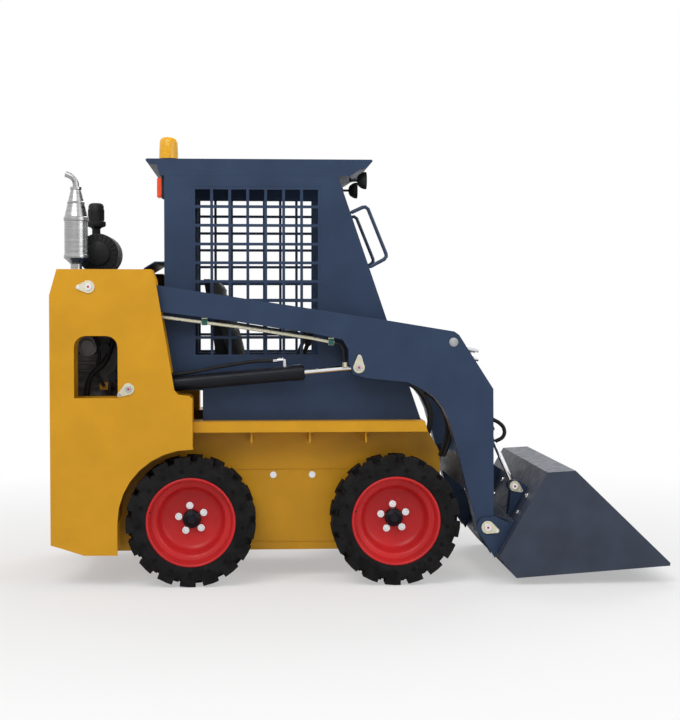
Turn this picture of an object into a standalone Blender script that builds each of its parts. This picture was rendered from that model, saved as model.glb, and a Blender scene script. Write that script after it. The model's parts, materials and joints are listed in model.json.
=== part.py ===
"""Skid steer loader: a compact wheeled loader with a caged cab, two lift arms and a bucket.

Metres, +Z up. The machine looks along +X, its right side is -Y, and it stands on z = 0.
The origin is below the middle of its length and width. Side outlines are (x, z) points.
"""
import math

import bmesh
import bpy
from mathutils import Matrix, Vector

GAP = 0.0003                 # left between pieces that touch
CLEAR = 0.010                # running clearance between an arm and its tower
SHEET = 0.008                # body and cab plate

# Wheels
WHEEL_RADIUS = 0.290
REAR_AXLE_X = -0.769
FRONT_AXLE_X = 0.149
TYRE_OUTER_Y = 0.570
TYRE_WIDTH = 0.200
RIM_RADIUS = 0.200
WHEEL_DISC_Y = 0.410         # inner face of the wheel disc
TREAD_ARCH_RADIUS = 0.325

# Hull
HULL_HALF_WIDTH = 0.330
HULL_BOTTOM_Z = 0.130
DECK_Z = 0.733
HULL_REAR_X = -1.330
HULL_FRONT_X = 0.375
HULL_NOSE_Z = 0.577          # where the front plate starts to slope back
HULL_NOSE_TOP_X = 0.286
LEDGE_HALF_WIDTH = 0.500
LEDGE_DEPTH = 0.047
WELL_REAR_X = -0.200         # rear wall of the footwell
WELL_FLOOR_Z = 0.470

# Towers
TOWER_REAR_X = -1.388
TOWER_TOP_Z = 1.416
TOWER_OUTER_Y = 0.555
TOWER_INNER_Y = 0.395        # inboard face of the inner plate
TOWER_FRONT_X = -0.760
TOWER_SHELF_Z = 0.854

# Lift arms
ARM_INNER_Y = 0.420
ARM_OUTER_Y = 0.520
ARM_PIVOT = (-1.216, 1.338)
ROD_PIN = (-0.016, 0.978)
LIFT_BASE = (-1.042, 0.886)
LIFT_BARREL_RADIUS = 0.034
LIFT_ROD_RADIUS = 0.012
LIFT_BARREL_LENGTH = 0.780
CYLINDER_Y = (ARM_INNER_Y + ARM_OUTER_Y) / 2

# Bucket, coupler and tilt cylinders
BUCKET_PIN = (0.567, 0.254)
BUCKET_HALF_WIDTH = 0.600
BUCKET_SHEET = 0.010
BUCKET_HEEL = (0.688, 0.033)
BUCKET_TIP = (1.388, 0.095)
BACK_LOW = (0.612, 0.134)
BACK_HIGH = (0.826, 0.506)
TILT_BASE = (0.410, 1.091)
TILT_PIN = (0.713, 0.424)
TILT_Y = 0.360
TILT_BARREL_RADIUS = 0.027
TILT_ROD_RADIUS = 0.011
TILT_BARREL_LENGTH = 0.460

# Cab
CAB_HALF_WIDTH = 0.390
CAB_REAR_X = -0.891
CAB_FOOT_REAR_X = -0.719
CAB_EAVES_Z = 1.844
CAB_FRONT_TOP_X = -0.102
CAB_FRONT_FOOT_X = 0.278
ROOF_TOP_Z = 1.920
ROOF_REAR_X = -0.975
ROOF_FRONT_X = 0.057
GRILLE_REAR_X = -0.765
GRILLE_FRONT_X = -0.180
GRILLE_BOTTOM_Z = 1.019
GRILLE_TOP_Z = 1.796
GRILLE_COLUMNS = 7
GRILLE_ROWS = 9
GRILLE_BAR = 0.013
SEAT_TOP_Z = 0.930
SEAT_BAR_PIVOT = (-0.805, 1.230)

DOOR_HINGE = (-1.3745, 0.3855)
DOOR_KNUCKLES = (0.420, 1.200)
DOOR_KNUCKLE_LENGTH = 0.080

COVER_Z = 1.400              # top of the engine cover's flat part
MUFFLER_X = -1.302
MUFFLER_Y = -0.250
FILTER_X = -1.215
FILTER_RADIUS = 0.095
LAMP_RADIUS = 0.040

PAINT = {
    "yellow_paint": ((0.62, 0.33, 0.02), 0.42, 0.0),
    "slate_paint": ((0.028, 0.045, 0.075), 0.40, 0.0),
    "red_paint": ((0.60, 0.02, 0.02), 0.38, 0.0),
    "tyre_rubber": ((0.012, 0.012, 0.013), 0.85, 0.0),
    "black_paint": ((0.015, 0.015, 0.017), 0.45, 0.0),
    "black_plastic": ((0.02, 0.02, 0.02), 0.55, 0.0),
    "vinyl": ((0.02, 0.02, 0.022), 0.60, 0.0),
    "chrome": ((0.75, 0.75, 0.76), 0.15, 1.0),
    "stainless": ((0.62, 0.60, 0.57), 0.28, 1.0),
    "zinc": ((0.66, 0.62, 0.46), 0.35, 0.8),
    "cast_metal": ((0.20, 0.20, 0.21), 0.60, 0.6),
    "amber_lens": ((0.90, 0.35, 0.02), 0.20, 0.0),
    "red_lens": ((0.75, 0.03, 0.01), 0.20, 0.0),
}

SIDES = (("right", -1), ("left", 1))


def start_scene():
    """Empty the file and add the collection that holds the loader."""
    for obj in list(bpy.data.objects):
        bpy.data.objects.remove(obj, do_unlink=True)
    collection = bpy.data.collections.new("skid_steer_loader")
    bpy.context.scene.collection.children.link(collection)
    return collection


LOADER = start_scene()


def paint(name):
    material = bpy.data.materials.get(name) or bpy.data.materials.new(name)
    colour, roughness, metallic = PAINT[name]
    material.use_nodes = True
    shader = material.node_tree.nodes["Principled BSDF"]
    shader.inputs["Base Color"].default_value = (*colour, 1.0)
    shader.inputs["Roughness"].default_value = roughness
    shader.inputs["Metallic"].default_value = metallic
    return material


def add_object(name, mesh):
    obj = bpy.data.objects.new(name, mesh)
    LOADER.objects.link(obj)
    return obj


def bake(obj, name):
    """Replace an object by the mesh that its curve or modifiers make."""
    bpy.context.view_layer.update()
    evaluated = obj.evaluated_get(bpy.context.evaluated_depsgraph_get())
    mesh = bpy.data.meshes.new_from_object(evaluated)
    mesh.transform(obj.matrix_world)
    bm = bmesh.new()
    bm.from_mesh(mesh)
    bmesh.ops.remove_doubles(bm, verts=bm.verts, dist=0.000001)
    bm.to_mesh(mesh)
    bm.free()
    bpy.data.objects.remove(obj, do_unlink=True)
    return add_object(name, mesh)


def box(x0, x1, y0, y1, z0, z1):
    bm = bmesh.new()
    bmesh.ops.create_cube(bm, size=1.0)
    bmesh.ops.scale(bm, vec=(x1 - x0, y1 - y0, z1 - z0), verts=bm.verts)
    bmesh.ops.translate(bm, vec=((x0 + x1) / 2, (y0 + y1) / 2, (z0 + z1) / 2), verts=bm.verts)
    mesh = bpy.data.meshes.new("box")
    bm.to_mesh(mesh)
    bm.free()
    return add_object("box", mesh)


def rod(start, end, radius, sides=16, end_radius=None):
    """A round bar, or a cone, between two points."""
    start, end = Vector(start), Vector(end)
    along = end - start
    bm = bmesh.new()
    bmesh.ops.create_cone(bm, cap_ends=True, segments=sides, radius1=radius,
                          radius2=radius if end_radius is None else end_radius, depth=along.length)
    turn = along.to_track_quat("Z", "Y").to_matrix().to_4x4()
    bmesh.ops.transform(bm, matrix=Matrix.Translation((start + end) / 2) @ turn, verts=bm.verts)
    mesh = bpy.data.meshes.new("rod")
    bm.to_mesh(mesh)
    bm.free()
    return add_object("rod", mesh)


def cross_rod(centre, y0, y1, radius, sides=16):
    """A round bar across the machine, through an (x, z) point."""
    return rod((centre[0], y0, centre[1]), (centre[0], y1, centre[1]), radius, sides)


def plate(outline, y0, y1, holes=()):
    """A flat plate from y0 to y1 with a side outline of (x, z) points, and holes in it."""
    curve = bpy.data.curves.new("plate", "CURVE")
    curve.dimensions = "2D"
    curve.fill_mode = "BOTH"
    curve.extrude = abs(y1 - y0) / 2
    for loop in (outline, *holes):
        spline = curve.splines.new("POLY")
        spline.points.add(len(loop) - 1)
        for point, (x, z) in zip(spline.points, loop):
            point.co = (x, z, 0, 1)
        spline.use_cyclic_u = True
    obj = add_object("plate", curve)
    obj.matrix_world = Matrix.Translation((0, (y0 + y1) / 2, 0)) @ Matrix.Rotation(math.pi / 2, 4, "X")
    return bake(obj, "plate")


def tube(points, radius, resolution=2):
    """A round tube along a chain of points."""
    curve = bpy.data.curves.new("tube", "CURVE")
    curve.dimensions = "3D"
    curve.bevel_depth = radius
    curve.bevel_resolution = resolution
    curve.use_fill_caps = True
    spline = curve.splines.new("POLY")
    spline.points.add(len(points) - 1)
    for point, place in zip(spline.points, points):
        point.co = (*place, 1)
    return bake(add_object("tube", curve), "tube")


def turned(profile, place, axis="Z", steps=24):
    """A turned solid: (radius, height) points, from the top down its outer side."""
    bm = bmesh.new()
    verts = [bm.verts.new((radius, 0, height)) for radius, height in profile]
    for low, high in zip(verts, verts[1:]):
        bm.edges.new((low, high))
    mesh = bpy.data.meshes.new("turned")
    bm.to_mesh(mesh)
    bm.free()
    obj = add_object("turned", mesh)
    screw = obj.modifiers.new("turn", "SCREW")
    screw.steps = steps
    screw.render_steps = steps
    screw.use_merge_vertices = True
    screw.merge_threshold = 0.00005
    turn = Matrix.Identity(4)
    if axis == "Y":
        turn = Matrix.Rotation(-math.pi / 2, 4, "X")
    elif axis == "-Y":
        turn = Matrix.Rotation(math.pi / 2, 4, "X")
    elif axis == "X":
        turn = Matrix.Rotation(math.pi / 2, 4, "Y")
    obj.matrix_world = Matrix.Translation(place) @ turn
    return bake(obj, "turned")


def combine(base, others, operation):
    """Join solids to a base, or cut them from it, and bake the result."""
    for other in others:
        modifier = base.modifiers.new("combine", "BOOLEAN")
        modifier.operation = operation
        modifier.object = other
    result = bake(base, "combined")
    for other in others:
        bpy.data.objects.remove(other, do_unlink=True)
    return result


def join(base, *others):
    return combine(base, others, "UNION")


def cut(base, *others):
    return combine(base, others, "DIFFERENCE")


def piece(name, obj, material, origin=(0, 0, 0), smooth=False):
    """Give a finished solid its name, paint and origin."""
    obj.name = name
    obj.data.name = name
    obj.data.transform(Matrix.Translation(-Vector(origin)))
    obj.location = origin
    obj.data.materials.clear()
    obj.data.materials.append(paint(material))
    if smooth:
        obj.data.shade_smooth()
        obj.data.set_sharp_from_angle(angle=math.radians(35))
    return obj


def arc(centre, radius, start, end, count):
    """Points on an arc, from one angle to another, in degrees."""
    points = []
    for step in range(count + 1):
        angle = math.radians(start + (end - start) * step / count)
        points.append((centre[0] + radius * math.cos(angle), centre[1] + radius * math.sin(angle)))
    return points


def inset(outline, distances):
    """Move each edge of a counterclockwise outline inwards by its own distance."""
    lines = []
    for start, end, distance in zip(outline, outline[1:] + outline[:1], distances):
        along = Vector((end[0] - start[0], end[1] - start[1])).normalized()
        inwards = Vector((-along.y, along.x))
        lines.append((Vector(start) + inwards * distance, along))
    points = []
    for (p, u), (q, v) in zip(lines[-1:] + lines[:-1], lines):
        step = (q - p).cross(v) / u.cross(v)
        points.append(tuple(p + u * step))
    return points


def mirrored(side, y0, y1):
    """The y range of a piece that is given for the left side."""
    return (y0, y1) if side > 0 else (-y1, -y0)


# ---------------------------------------------------------------- hull

HULL_OUTLINE = [(HULL_REAR_X, HULL_BOTTOM_Z), (HULL_FRONT_X, HULL_BOTTOM_Z), (HULL_FRONT_X, HULL_NOSE_Z),
                (HULL_NOSE_TOP_X, DECK_Z), (HULL_REAR_X, DECK_Z)]


def make_hull():
    """A welded tub with a ledge along each side and two bearers for the engine."""
    tub = plate(HULL_OUTLINE, -HULL_HALF_WIDTH, HULL_HALF_WIDTH)
    hollow = inset(HULL_OUTLINE, [SHEET, SHEET, SHEET, -0.05, SHEET])
    inner = HULL_HALF_WIDTH - SHEET
    tub = cut(tub, plate(hollow, -inner, inner))
    ledges = []
    ledge = [(TOWER_FRONT_X, DECK_Z - LEDGE_DEPTH), (0.297, DECK_Z - LEDGE_DEPTH), (HULL_NOSE_TOP_X, DECK_Z),
             (TOWER_FRONT_X, DECK_Z)]
    for _, side in SIDES:
        ledges.append(plate(ledge, *mirrored(side, inner, LEDGE_HALF_WIDTH)))
        for x in (-0.498, -0.235, 0.020):
            web = [(x - 0.004, DECK_Z - LEDGE_DEPTH - 0.05), (x + 0.004, DECK_Z - LEDGE_DEPTH - 0.05),
                   (x + 0.004, DECK_Z - 0.01), (x - 0.004, DECK_Z - 0.01)]
            ledges.append(plate(web, *mirrored(side, HULL_HALF_WIDTH - 0.004, LEDGE_HALF_WIDTH - 0.03)))
    bearers = [box(x, x + 0.07, -inner - 0.004, inner + 0.004, ENGINE[4] - GAP - 0.05, ENGINE[4] - GAP)
               for x in (ENGINE[0] + 0.02, ENGINE[1] - 0.09)]
    piece("main_frame", join(tub, *ledges, *bearers), "yellow_paint")


ENGINE = (-1.310, -0.960, -0.250, 0.250, 0.500, 1.120)
WINDOW = [(-1.281, 0.846), (-1.089, 0.846), *arc((-1.139, 1.071), 0.050, 0, 90, 4),
          *arc((-1.231, 1.071), 0.050, 90, 180, 4)]


def tower_outline():
    """The tower's side, with the wheel arch cut out of its lower front."""
    axle = (REAR_AXLE_X, WHEEL_RADIUS)
    arch = arc(axle, TREAD_ARCH_RADIUS, 88, 180, 8)
    return [(TOWER_REAR_X, 0.192), (-1.338, 0.177), (-1.241, 0.145),
            (arch[-1][0], 0.144), *reversed(arch),
            (TOWER_FRONT_X, 0.630), (TOWER_FRONT_X, 0.841), (-0.773, TOWER_SHELF_Z), (-0.822, 0.860),
            (-0.840, 0.880), (-0.922, 1.371), (-0.939, TOWER_TOP_Z), (-1.355, TOWER_TOP_Z),
            (TOWER_REAR_X, 1.300)]


def make_tower(label, side):
    """Two plates with the arm and lift cylinder between them, tied by webs and the wheel arch."""
    outline = tower_outline()
    outer = plate(outline, *mirrored(side, TOWER_OUTER_Y - SHEET, TOWER_OUTER_Y), [WINDOW])
    inner = plate(outline, *mirrored(side, TOWER_INNER_Y, TOWER_INNER_Y + SHEET), [WINDOW])
    span = mirrored(side, TOWER_INNER_Y + 0.002, TOWER_OUTER_Y - 0.002)
    rear = box(TOWER_REAR_X, TOWER_REAR_X + SHEET, *span, 0.192, 1.300)
    front = box(TOWER_FRONT_X - SHEET, TOWER_FRONT_X, *span, 0.640, 0.841)
    axle = (REAR_AXLE_X, WHEEL_RADIUS)
    arch = [*arc(axle, TREAD_ARCH_RADIUS, 88, 180, 8), *reversed(arc(axle, TREAD_ARCH_RADIUS + 0.006, 88, 180, 8))]
    root = mirrored(side, HULL_HALF_WIDTH + GAP, TOWER_OUTER_Y - 0.002)
    pins = []
    for centre, radius in ((ARM_PIVOT, 0.024), (LIFT_BASE, 0.019)):
        pins.append(cross_rod(centre, *mirrored(side, TOWER_INNER_Y + 0.002, TOWER_OUTER_Y - 0.002), radius))
    lugs = []
    if side > 0:
        for z in DOOR_KNUCKLES:
            for low, high in ((z - 0.030, z - GAP), (z + DOOR_KNUCKLE_LENGTH + GAP, z + 0.110)):
                x, y = DOOR_HINGE
                lugs.append(box(x - 0.005, x + 0.005, y - 0.005, TOWER_INNER_Y + 0.003, low, high))
    tower = join(outer, inner, rear, front, plate(arch, *root), *pins, *lugs)
    piece(label + "_tower", tower, "yellow_paint")


def make_engine_bay():
    """The engine, its cover, and what stands on the cover."""
    piece("engine_block", box(*ENGINE), "cast_metal")
    half = TOWER_INNER_Y - GAP
    thick = 0.006
    top = [(TOWER_REAR_X + 0.030, COVER_Z), (-1.000, COVER_Z), (-0.981, 1.426), (-0.934, 1.455),
           (CAB_REAR_X - GAP, 1.455)]
    under = [(x, z - thick) for x, z in reversed(top)]
    pipe = (MUFFLER_X, MUFFLER_Y)
    cover = cut(plate(under + top, -half, half), rod((*pipe, COVER_Z - 0.03), (*pipe, COVER_Z + 0.03), 0.0268, 20))
    piece("engine_cover", cover, "slate_paint")
    make_muffler()
    y0, y1 = -0.130, 0.130
    z = COVER_Z + 0.004 + FILTER_RADIUS
    drum = join(cross_rod((FILTER_X, z), y0, y1, FILTER_RADIUS, 24),
                cross_rod((FILTER_X, z), y0 - 0.02, y0 + 0.01, FILTER_RADIUS * 0.6, 16),
                box(FILTER_X - 0.05, FILTER_X + 0.05, y0 + 0.05, y1 - 0.05, COVER_Z + GAP, z - 0.05))
    piece("air_filter", drum, "black_plastic", smooth=True)
    top_z = z + FILTER_RADIUS + GAP
    bowl = turned([(0, 0.150), (0.028, 0.148), (0.036, 0.135), (0.038, 0.060), (0.046, 0.055), (0.046, 0.040),
                   (0.020, 0.030), (0.020, 0), (0, 0)], (FILTER_X - 0.02, 0.0, top_z), steps=16)
    piece("pre_cleaner", bowl, "black_plastic", smooth=True)


def make_muffler():
    """A stainless silencer with cones and rings, and a curved tail pipe."""
    foot = COVER_Z - 0.06
    rise = [(0, 1.800), (0.026, 1.800), (0.026, 1.788), (0.024, 1.786), (0.037, 1.733), (0.041, 1.730), (0.054, 1.662),
            (0.057, 1.660), (0.057, 1.645), (0.054, 1.643), (0.054, 1.490), (0.057, 1.488), (0.057, 1.474),
            (0.040, 1.462), (0.026, 1.445), (0.026, foot), (0, foot)]
    body = turned([(r, z - foot) for r, z in rise], (MUFFLER_X, MUFFLER_Y, foot), steps=20)
    bend = [(MUFFLER_X, MUFFLER_Y, 1.780), (MUFFLER_X, MUFFLER_Y, 1.812)]
    for x, z in arc((MUFFLER_X - 0.045, 1.812), 0.045, 0, 65, 4)[1:]:
        bend.append((x, MUFFLER_Y, z))
    bend.append((bend[-1][0] - 0.022, MUFFLER_Y, bend[-1][2] + 0.010))
    piece("muffler", join(body, tube(bend, 0.015)), "stainless", smooth=True)


def make_rear_door():
    """A pan door between the towers, hung on the left one."""
    half = TOWER_INNER_Y - CLEAR
    panel = box(-1.372, -1.354, -half, half - 0.008, 0.300, 1.380)
    knuckles = []
    for z in DOOR_KNUCKLES:
        top = z + DOOR_KNUCKLE_LENGTH
        leaf = box(DOOR_HINGE[0], -1.360, half - 0.020, DOOR_HINGE[1], z, top)
        knuckles += [rod((*DOOR_HINGE, z), (*DOOR_HINGE, top), 0.007, 12), leaf]
    handle = box(-1.384, -1.370, -half + 0.05, -half + 0.08, 0.80, 0.92)
    piece("rear_door", join(panel, handle, *knuckles), "yellow_paint", origin=(*DOOR_HINGE, 0.0))


def make_wheel(label, side, x):
    """A fixed axle housing on the hull, then a dished rim and a solid tyre."""
    outer = TYRE_OUTER_Y
    inner = outer - TYRE_WIDTH
    axle = (x, WHEEL_RADIUS)
    housing = join(cross_rod(axle, *mirrored(side, HULL_HALF_WIDTH + GAP, WHEEL_DISC_Y - GAP), 0.062, 20),
                   cross_rod(axle, *mirrored(side, HULL_HALF_WIDTH + GAP, HULL_HALF_WIDTH + 0.015), 0.085, 20))
    piece(label + "_axle", housing, "black_paint", smooth=True)
    disc = WHEEL_DISC_Y
    profile = [(RIM_RADIUS - GAP, inner + 0.004), (RIM_RADIUS - GAP, outer - 0.012), (RIM_RADIUS - 0.006, outer - 0.004),
               (RIM_RADIUS - 0.016, outer - 0.008), (RIM_RADIUS - 0.022, outer - 0.030),
               (0.146, outer - 0.050), (0.142, disc + 0.035), (0.120, disc + 0.020), (0.075, disc + 0.016),
               (0.044, disc + 0.016), (0.044, disc + 0.045), (0.030, disc + 0.052), (0, disc + 0.052),
               (0, disc), (0.120, disc), (0.160, disc + 0.015), (RIM_RADIUS - 0.026, disc + 0.015),
               (RIM_RADIUS - 0.018, disc), (RIM_RADIUS - 0.018, inner + 0.004)]
    profile = [(radius, y) for radius, y in reversed(profile)]
    rim = turned(profile + profile[:1], (x, 0, WHEEL_RADIUS), "Y" if side > 0 else "-Y", 32)
    piece(label + "_rim", rim, "red_paint", origin=(x, side * disc, WHEEL_RADIUS), smooth=True)
    radius = WHEEL_RADIUS
    section = [(RIM_RADIUS, inner), (radius - 0.030, inner), (radius, inner + 0.022), (radius, outer - 0.022),
               (radius - 0.030, outer), (RIM_RADIUS, outer)]
    section = section[::-1]
    tyre = turned(section + section[:1], (x, 0, WHEEL_RADIUS), "Y" if side > 0 else "-Y", 32)
    piece(label + "_tyre", tyre, "tyre_rubber", origin=(x, side * disc, WHEEL_RADIUS), smooth=True)


# ---------------------------------------------------------------- lift arms

ARM_OUTLINE = [*arc(ARM_PIVOT, 0.056, 98, 262, 8),
               (-0.898, 1.227), (-0.561, 1.183), (-0.226, 1.131), (-0.090, 1.103), (-0.064, 1.060), (-0.062, 1.000),
               (-0.041, 0.948), (0.018, 0.930), (0.205, 0.911), (0.284, 0.872), (0.333, 0.834), (0.368, 0.788),
               (0.396, 0.726), (0.438, 0.574), (0.473, 0.434), (0.512, 0.290), *arc(BUCKET_PIN, 0.048, 190, 300, 5),
               (0.597, 0.290), (0.593, 0.879), (0.437, 1.123), (0.415, 1.139), (0.111, 1.189), (-0.202, 1.237),
               (-0.759, 1.322)]
POCKET = [(-0.200, 0.850), (0.075, 0.850), (0.075, 0.990), (0.040, 1.040), (-0.120, 1.060), (-0.200, 1.060)]


def make_arm(label, side):
    """A box-section arm with an open pocket for the rod's eye and a pin for the tilt cylinder."""
    y0, y1 = mirrored(side, ARM_INNER_Y, ARM_OUTER_Y)
    arm = plate(ARM_OUTLINE, y0, y1)
    wall = 0.016
    slot = mirrored(side, ARM_INNER_Y + wall, ARM_OUTER_Y - wall)
    pivot_hole = cross_rod(ARM_PIVOT, y0 - 0.05, y1 + 0.05, 0.0245, 16)
    arm = cut(arm, plate(POCKET, *slot), pivot_hole)
    pin = cross_rod(TILT_BASE, *mirrored(side, TILT_Y - 0.032, ARM_INNER_Y + 0.010), 0.016)
    cheek = cross_rod(TILT_BASE, *mirrored(side, TILT_Y + 0.030, ARM_INNER_Y + 0.005), 0.040)
    piece(label + "_arm", join(arm, pin, cheek), "slate_paint", origin=(ARM_PIVOT[0], 0, ARM_PIVOT[1]))


def arm_underside(x):
    """The height of the arm's lower edge between the tower and the pocket."""
    edge = ((-0.898, 1.227), (-0.561, 1.183), (-0.226, 1.131), (-0.090, 1.103))
    for (x0, z0), (x1, z1) in zip(edge, edge[1:]):
        if x <= x1:
            break
    return z0 + (z1 - z0) * (x - x0) / (x1 - x0)


def make_arm_tubes(label, side):
    """The steel oil line under each arm, with the two clamps that hold it."""
    drop = 0.022
    half = 0.012
    y = side * 0.490
    route = [(x, y, arm_underside(x) - drop) for x in (-0.895, -0.561, -0.226, -0.120)]
    clamps = []
    for x in (-0.707, -0.140):
        top = arm_underside(x + half) - GAP
        clamps.append(box(x - half, x + half, y - 0.014, y + 0.014, arm_underside(x) - drop - 0.013, top))
    piece(label + "_arm_line", join(tube(route, 0.008), *clamps), "zinc", smooth=True)


def eye(centre, y, width, radius, hole):
    """A cylinder's eye on a cross pin."""
    return cut(cross_rod(centre, y - width / 2, y + width / 2, radius),
               cross_rod(centre, y - width, y + width, hole))


def toward(start, end, distance, y):
    """The point at a distance from an (x, z) point, toward another, at y."""
    along = (Vector(end) - Vector(start)).normalized()
    place = Vector(start) + along * distance
    return (place.x, y, place.y)


def make_cylinder(label, base, end, y, barrel_length, barrel_radius, rod_radius, pin_radius):
    """A hydraulic cylinder: a barrel on its base pin and a rod with an eye."""
    hole = pin_radius + 0.001
    body = cut(rod(toward(base, end, 0.0, y), toward(base, end, barrel_length, y), barrel_radius, 20),
               rod(toward(base, end, 0.06, y), toward(base, end, barrel_length + 0.02, y), rod_radius + 0.0008, 12))
    width = barrel_radius * 1.6
    shell = join(cut(body, cross_rod(base, y - 0.1, y + 0.1, barrel_radius + 0.006)),
                 cross_rod(base, y - width / 2, y + width / 2, barrel_radius + 0.008, 20))
    shell = cut(shell, cross_rod(base, y - 0.1, y + 0.1, hole))
    piece(label + "_barrel", shell, "black_paint", origin=(base[0], y, base[1]), smooth=True)
    length = (Vector(end) - Vector(base)).length
    shaft = rod(toward(base, end, 0.125, y), toward(base, end, length - 0.010, y), rod_radius, 12)
    head = cross_rod(end, y - 0.020, y + 0.020, rod_radius * 2)
    piece(label + "_rod", join(shaft, head), "chrome", origin=(end[0], y, end[1]), smooth=True)


# ---------------------------------------------------------------- coupler and bucket

BUCKET_OUTLINE = [BACK_LOW, (0.623, 0.111), BUCKET_HEEL, (1.387, 0.082), BUCKET_TIP, (0.956, 0.513), BACK_HIGH]


def on_back(along, off):
    """A point by its distance up the bucket's back and its distance behind it."""
    low, high = Vector(BACK_LOW), Vector(BACK_HIGH)
    up = (high - low).normalized()
    behind = Vector((-up.y, up.x))
    return tuple(low + up * along + behind * off)


def make_coupler():
    """Side plates on the arms' pins, lugs for the tilt rods, and the plates that tie them."""
    pieces = []
    bosses = []
    foot = 0.004
    ear = [*arc(BUCKET_PIN, 0.050, 120, 235, 5), (0.600, 0.114), on_back(0.004, foot), on_back(0.150, foot),
           (0.600, 0.302)]
    lug = [on_back(0.150, foot), on_back(0.330, foot), *arc(TILT_PIN, 0.030, 60, 235, 6)]
    for _, side in SIDES:
        for y in (ARM_INNER_Y - CLEAR - SHEET, ARM_OUTER_Y + 0.006):
            pieces.append(plate(ear, *mirrored(side, y, y + SHEET)))
        for y in (TILT_Y - 0.036, TILT_Y + 0.028):
            pieces.append(plate(lug, *mirrored(side, y, y + SHEET)))
        bosses.append(cross_rod(BUCKET_PIN, *mirrored(side, ARM_INNER_Y - CLEAR - SHEET - 0.004, ARM_INNER_Y - GAP),
                                0.028, 12))
    low = [on_back(0.0, GAP), on_back(0.170, GAP), on_back(0.170, 0.012), on_back(0.0, 0.012)]
    reach = ARM_OUTER_Y + 0.006 + SHEET - 0.001
    coupler = join(plate(low, -reach, reach), *pieces, *bosses)
    piece("coupler", coupler, "slate_paint", origin=(BUCKET_PIN[0], 0, BUCKET_PIN[1]))


def make_bucket():
    """A general-purpose bucket: one bent shell, two side plates and a straight cutting edge."""
    shell = plate(BUCKET_OUTLINE, -BUCKET_HALF_WIDTH, BUCKET_HALF_WIDTH)
    sheet = BUCKET_SHEET
    hollow = inset(BUCKET_OUTLINE, [sheet, sheet, sheet, sheet, -0.2, sheet, sheet])
    inner = BUCKET_HALF_WIDTH - SHEET
    piece("bucket", cut(shell, plate(hollow, -inner, inner)), "slate_paint",
          origin=(BUCKET_PIN[0], 0, BUCKET_PIN[1]))


# ---------------------------------------------------------------- cab

def front_edge_x(z):
    """The cab's front edge, which slopes forward to its foot."""
    share = (CAB_EAVES_Z - z) / (CAB_EAVES_Z - DECK_Z)
    return CAB_FRONT_TOP_X + (CAB_FRONT_FOOT_X - CAB_FRONT_TOP_X) * share


GRILLE_OPENING = [(GRILLE_REAR_X, GRILLE_BOTTOM_Z), (GRILLE_FRONT_X, GRILLE_BOTTOM_Z), (GRILLE_FRONT_X, GRILLE_TOP_Z),
                  (GRILLE_REAR_X, GRILLE_TOP_Z)]


def make_cab_side(label, side):
    foot = DECK_Z + GAP
    outline = [(CAB_REAR_X, 0.870), (CAB_FOOT_REAR_X, 0.870), (CAB_FOOT_REAR_X, foot), (CAB_FRONT_FOOT_X, foot),
               (CAB_FRONT_TOP_X, CAB_EAVES_Z), (CAB_REAR_X, CAB_EAVES_Z)]
    y0, y1 = mirrored(side, CAB_HALF_WIDTH - SHEET, CAB_HALF_WIDTH)
    piece(label + "_cab_side", plate(outline, y0, y1, [GRILLE_OPENING]), "slate_paint")


def grid_holes(x0, x1, z0, z1, columns, rows, bar):
    """The rectangular holes of a grid of bars."""
    holes = []
    for column in range(columns):
        for row in range(rows):
            left = x0 + (x1 - x0 - bar) * column / columns + bar
            right = x0 + (x1 - x0 - bar) * (column + 1) / columns
            low = z0 + (z1 - z0 - bar) * row / rows + bar
            high = z0 + (z1 - z0 - bar) * (row + 1) / rows
            holes.append([(left, low), (right, low), (right, high), (left, high)])
    return holes


def make_grille(label, side):
    frame = inset(GRILLE_OPENING, [GAP] * 4)
    holes = grid_holes(frame[0][0], frame[2][0], frame[0][1], frame[2][1], GRILLE_COLUMNS, GRILLE_ROWS, GRILLE_BAR)
    y0, y1 = mirrored(side, CAB_HALF_WIDTH - SHEET + 0.001, CAB_HALF_WIDTH - 0.001)
    piece(label + "_window_grille", plate(frame, y0, y1, holes), "slate_paint")


def make_cab_shell():
    half = CAB_HALF_WIDTH
    eaves = CAB_EAVES_Z + GAP
    outline = [(-0.911, eaves), (-0.048, eaves), (0.006, 1.879), (0.032, 1.885), (ROOF_FRONT_X, ROOF_TOP_Z - 0.006),
               (ROOF_FRONT_X - 0.006, ROOF_TOP_Z), (ROOF_REAR_X + 0.006, ROOF_TOP_Z), (ROOF_REAR_X, ROOF_TOP_Z - 0.006),
               (-0.963, 1.897), (-0.923, 1.893)]
    roof = cut(plate(outline, -half, half),
               box(CAB_REAR_X + 0.02, CAB_FRONT_TOP_X - 0.01, -half + 0.03, half - 0.03, eaves - 0.05, ROOF_TOP_Z - 0.02))
    piece("cab_roof", roof, "slate_paint")
    inner = half - SHEET - GAP
    wall = box(CAB_REAR_X, CAB_REAR_X + SHEET, -inner, inner, 0.870, CAB_EAVES_Z)
    holes = []
    for column in range(6):
        y = -0.240 + 0.080 * column
        for z in (1.500, 1.600, 1.700):
            holes.append(box(CAB_REAR_X - 0.05, CAB_REAR_X + 0.05, y + 0.008, y + 0.072, z, z + 0.088))
    piece("cab_rear_wall", cut(wall, *holes), "slate_paint")


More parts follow.
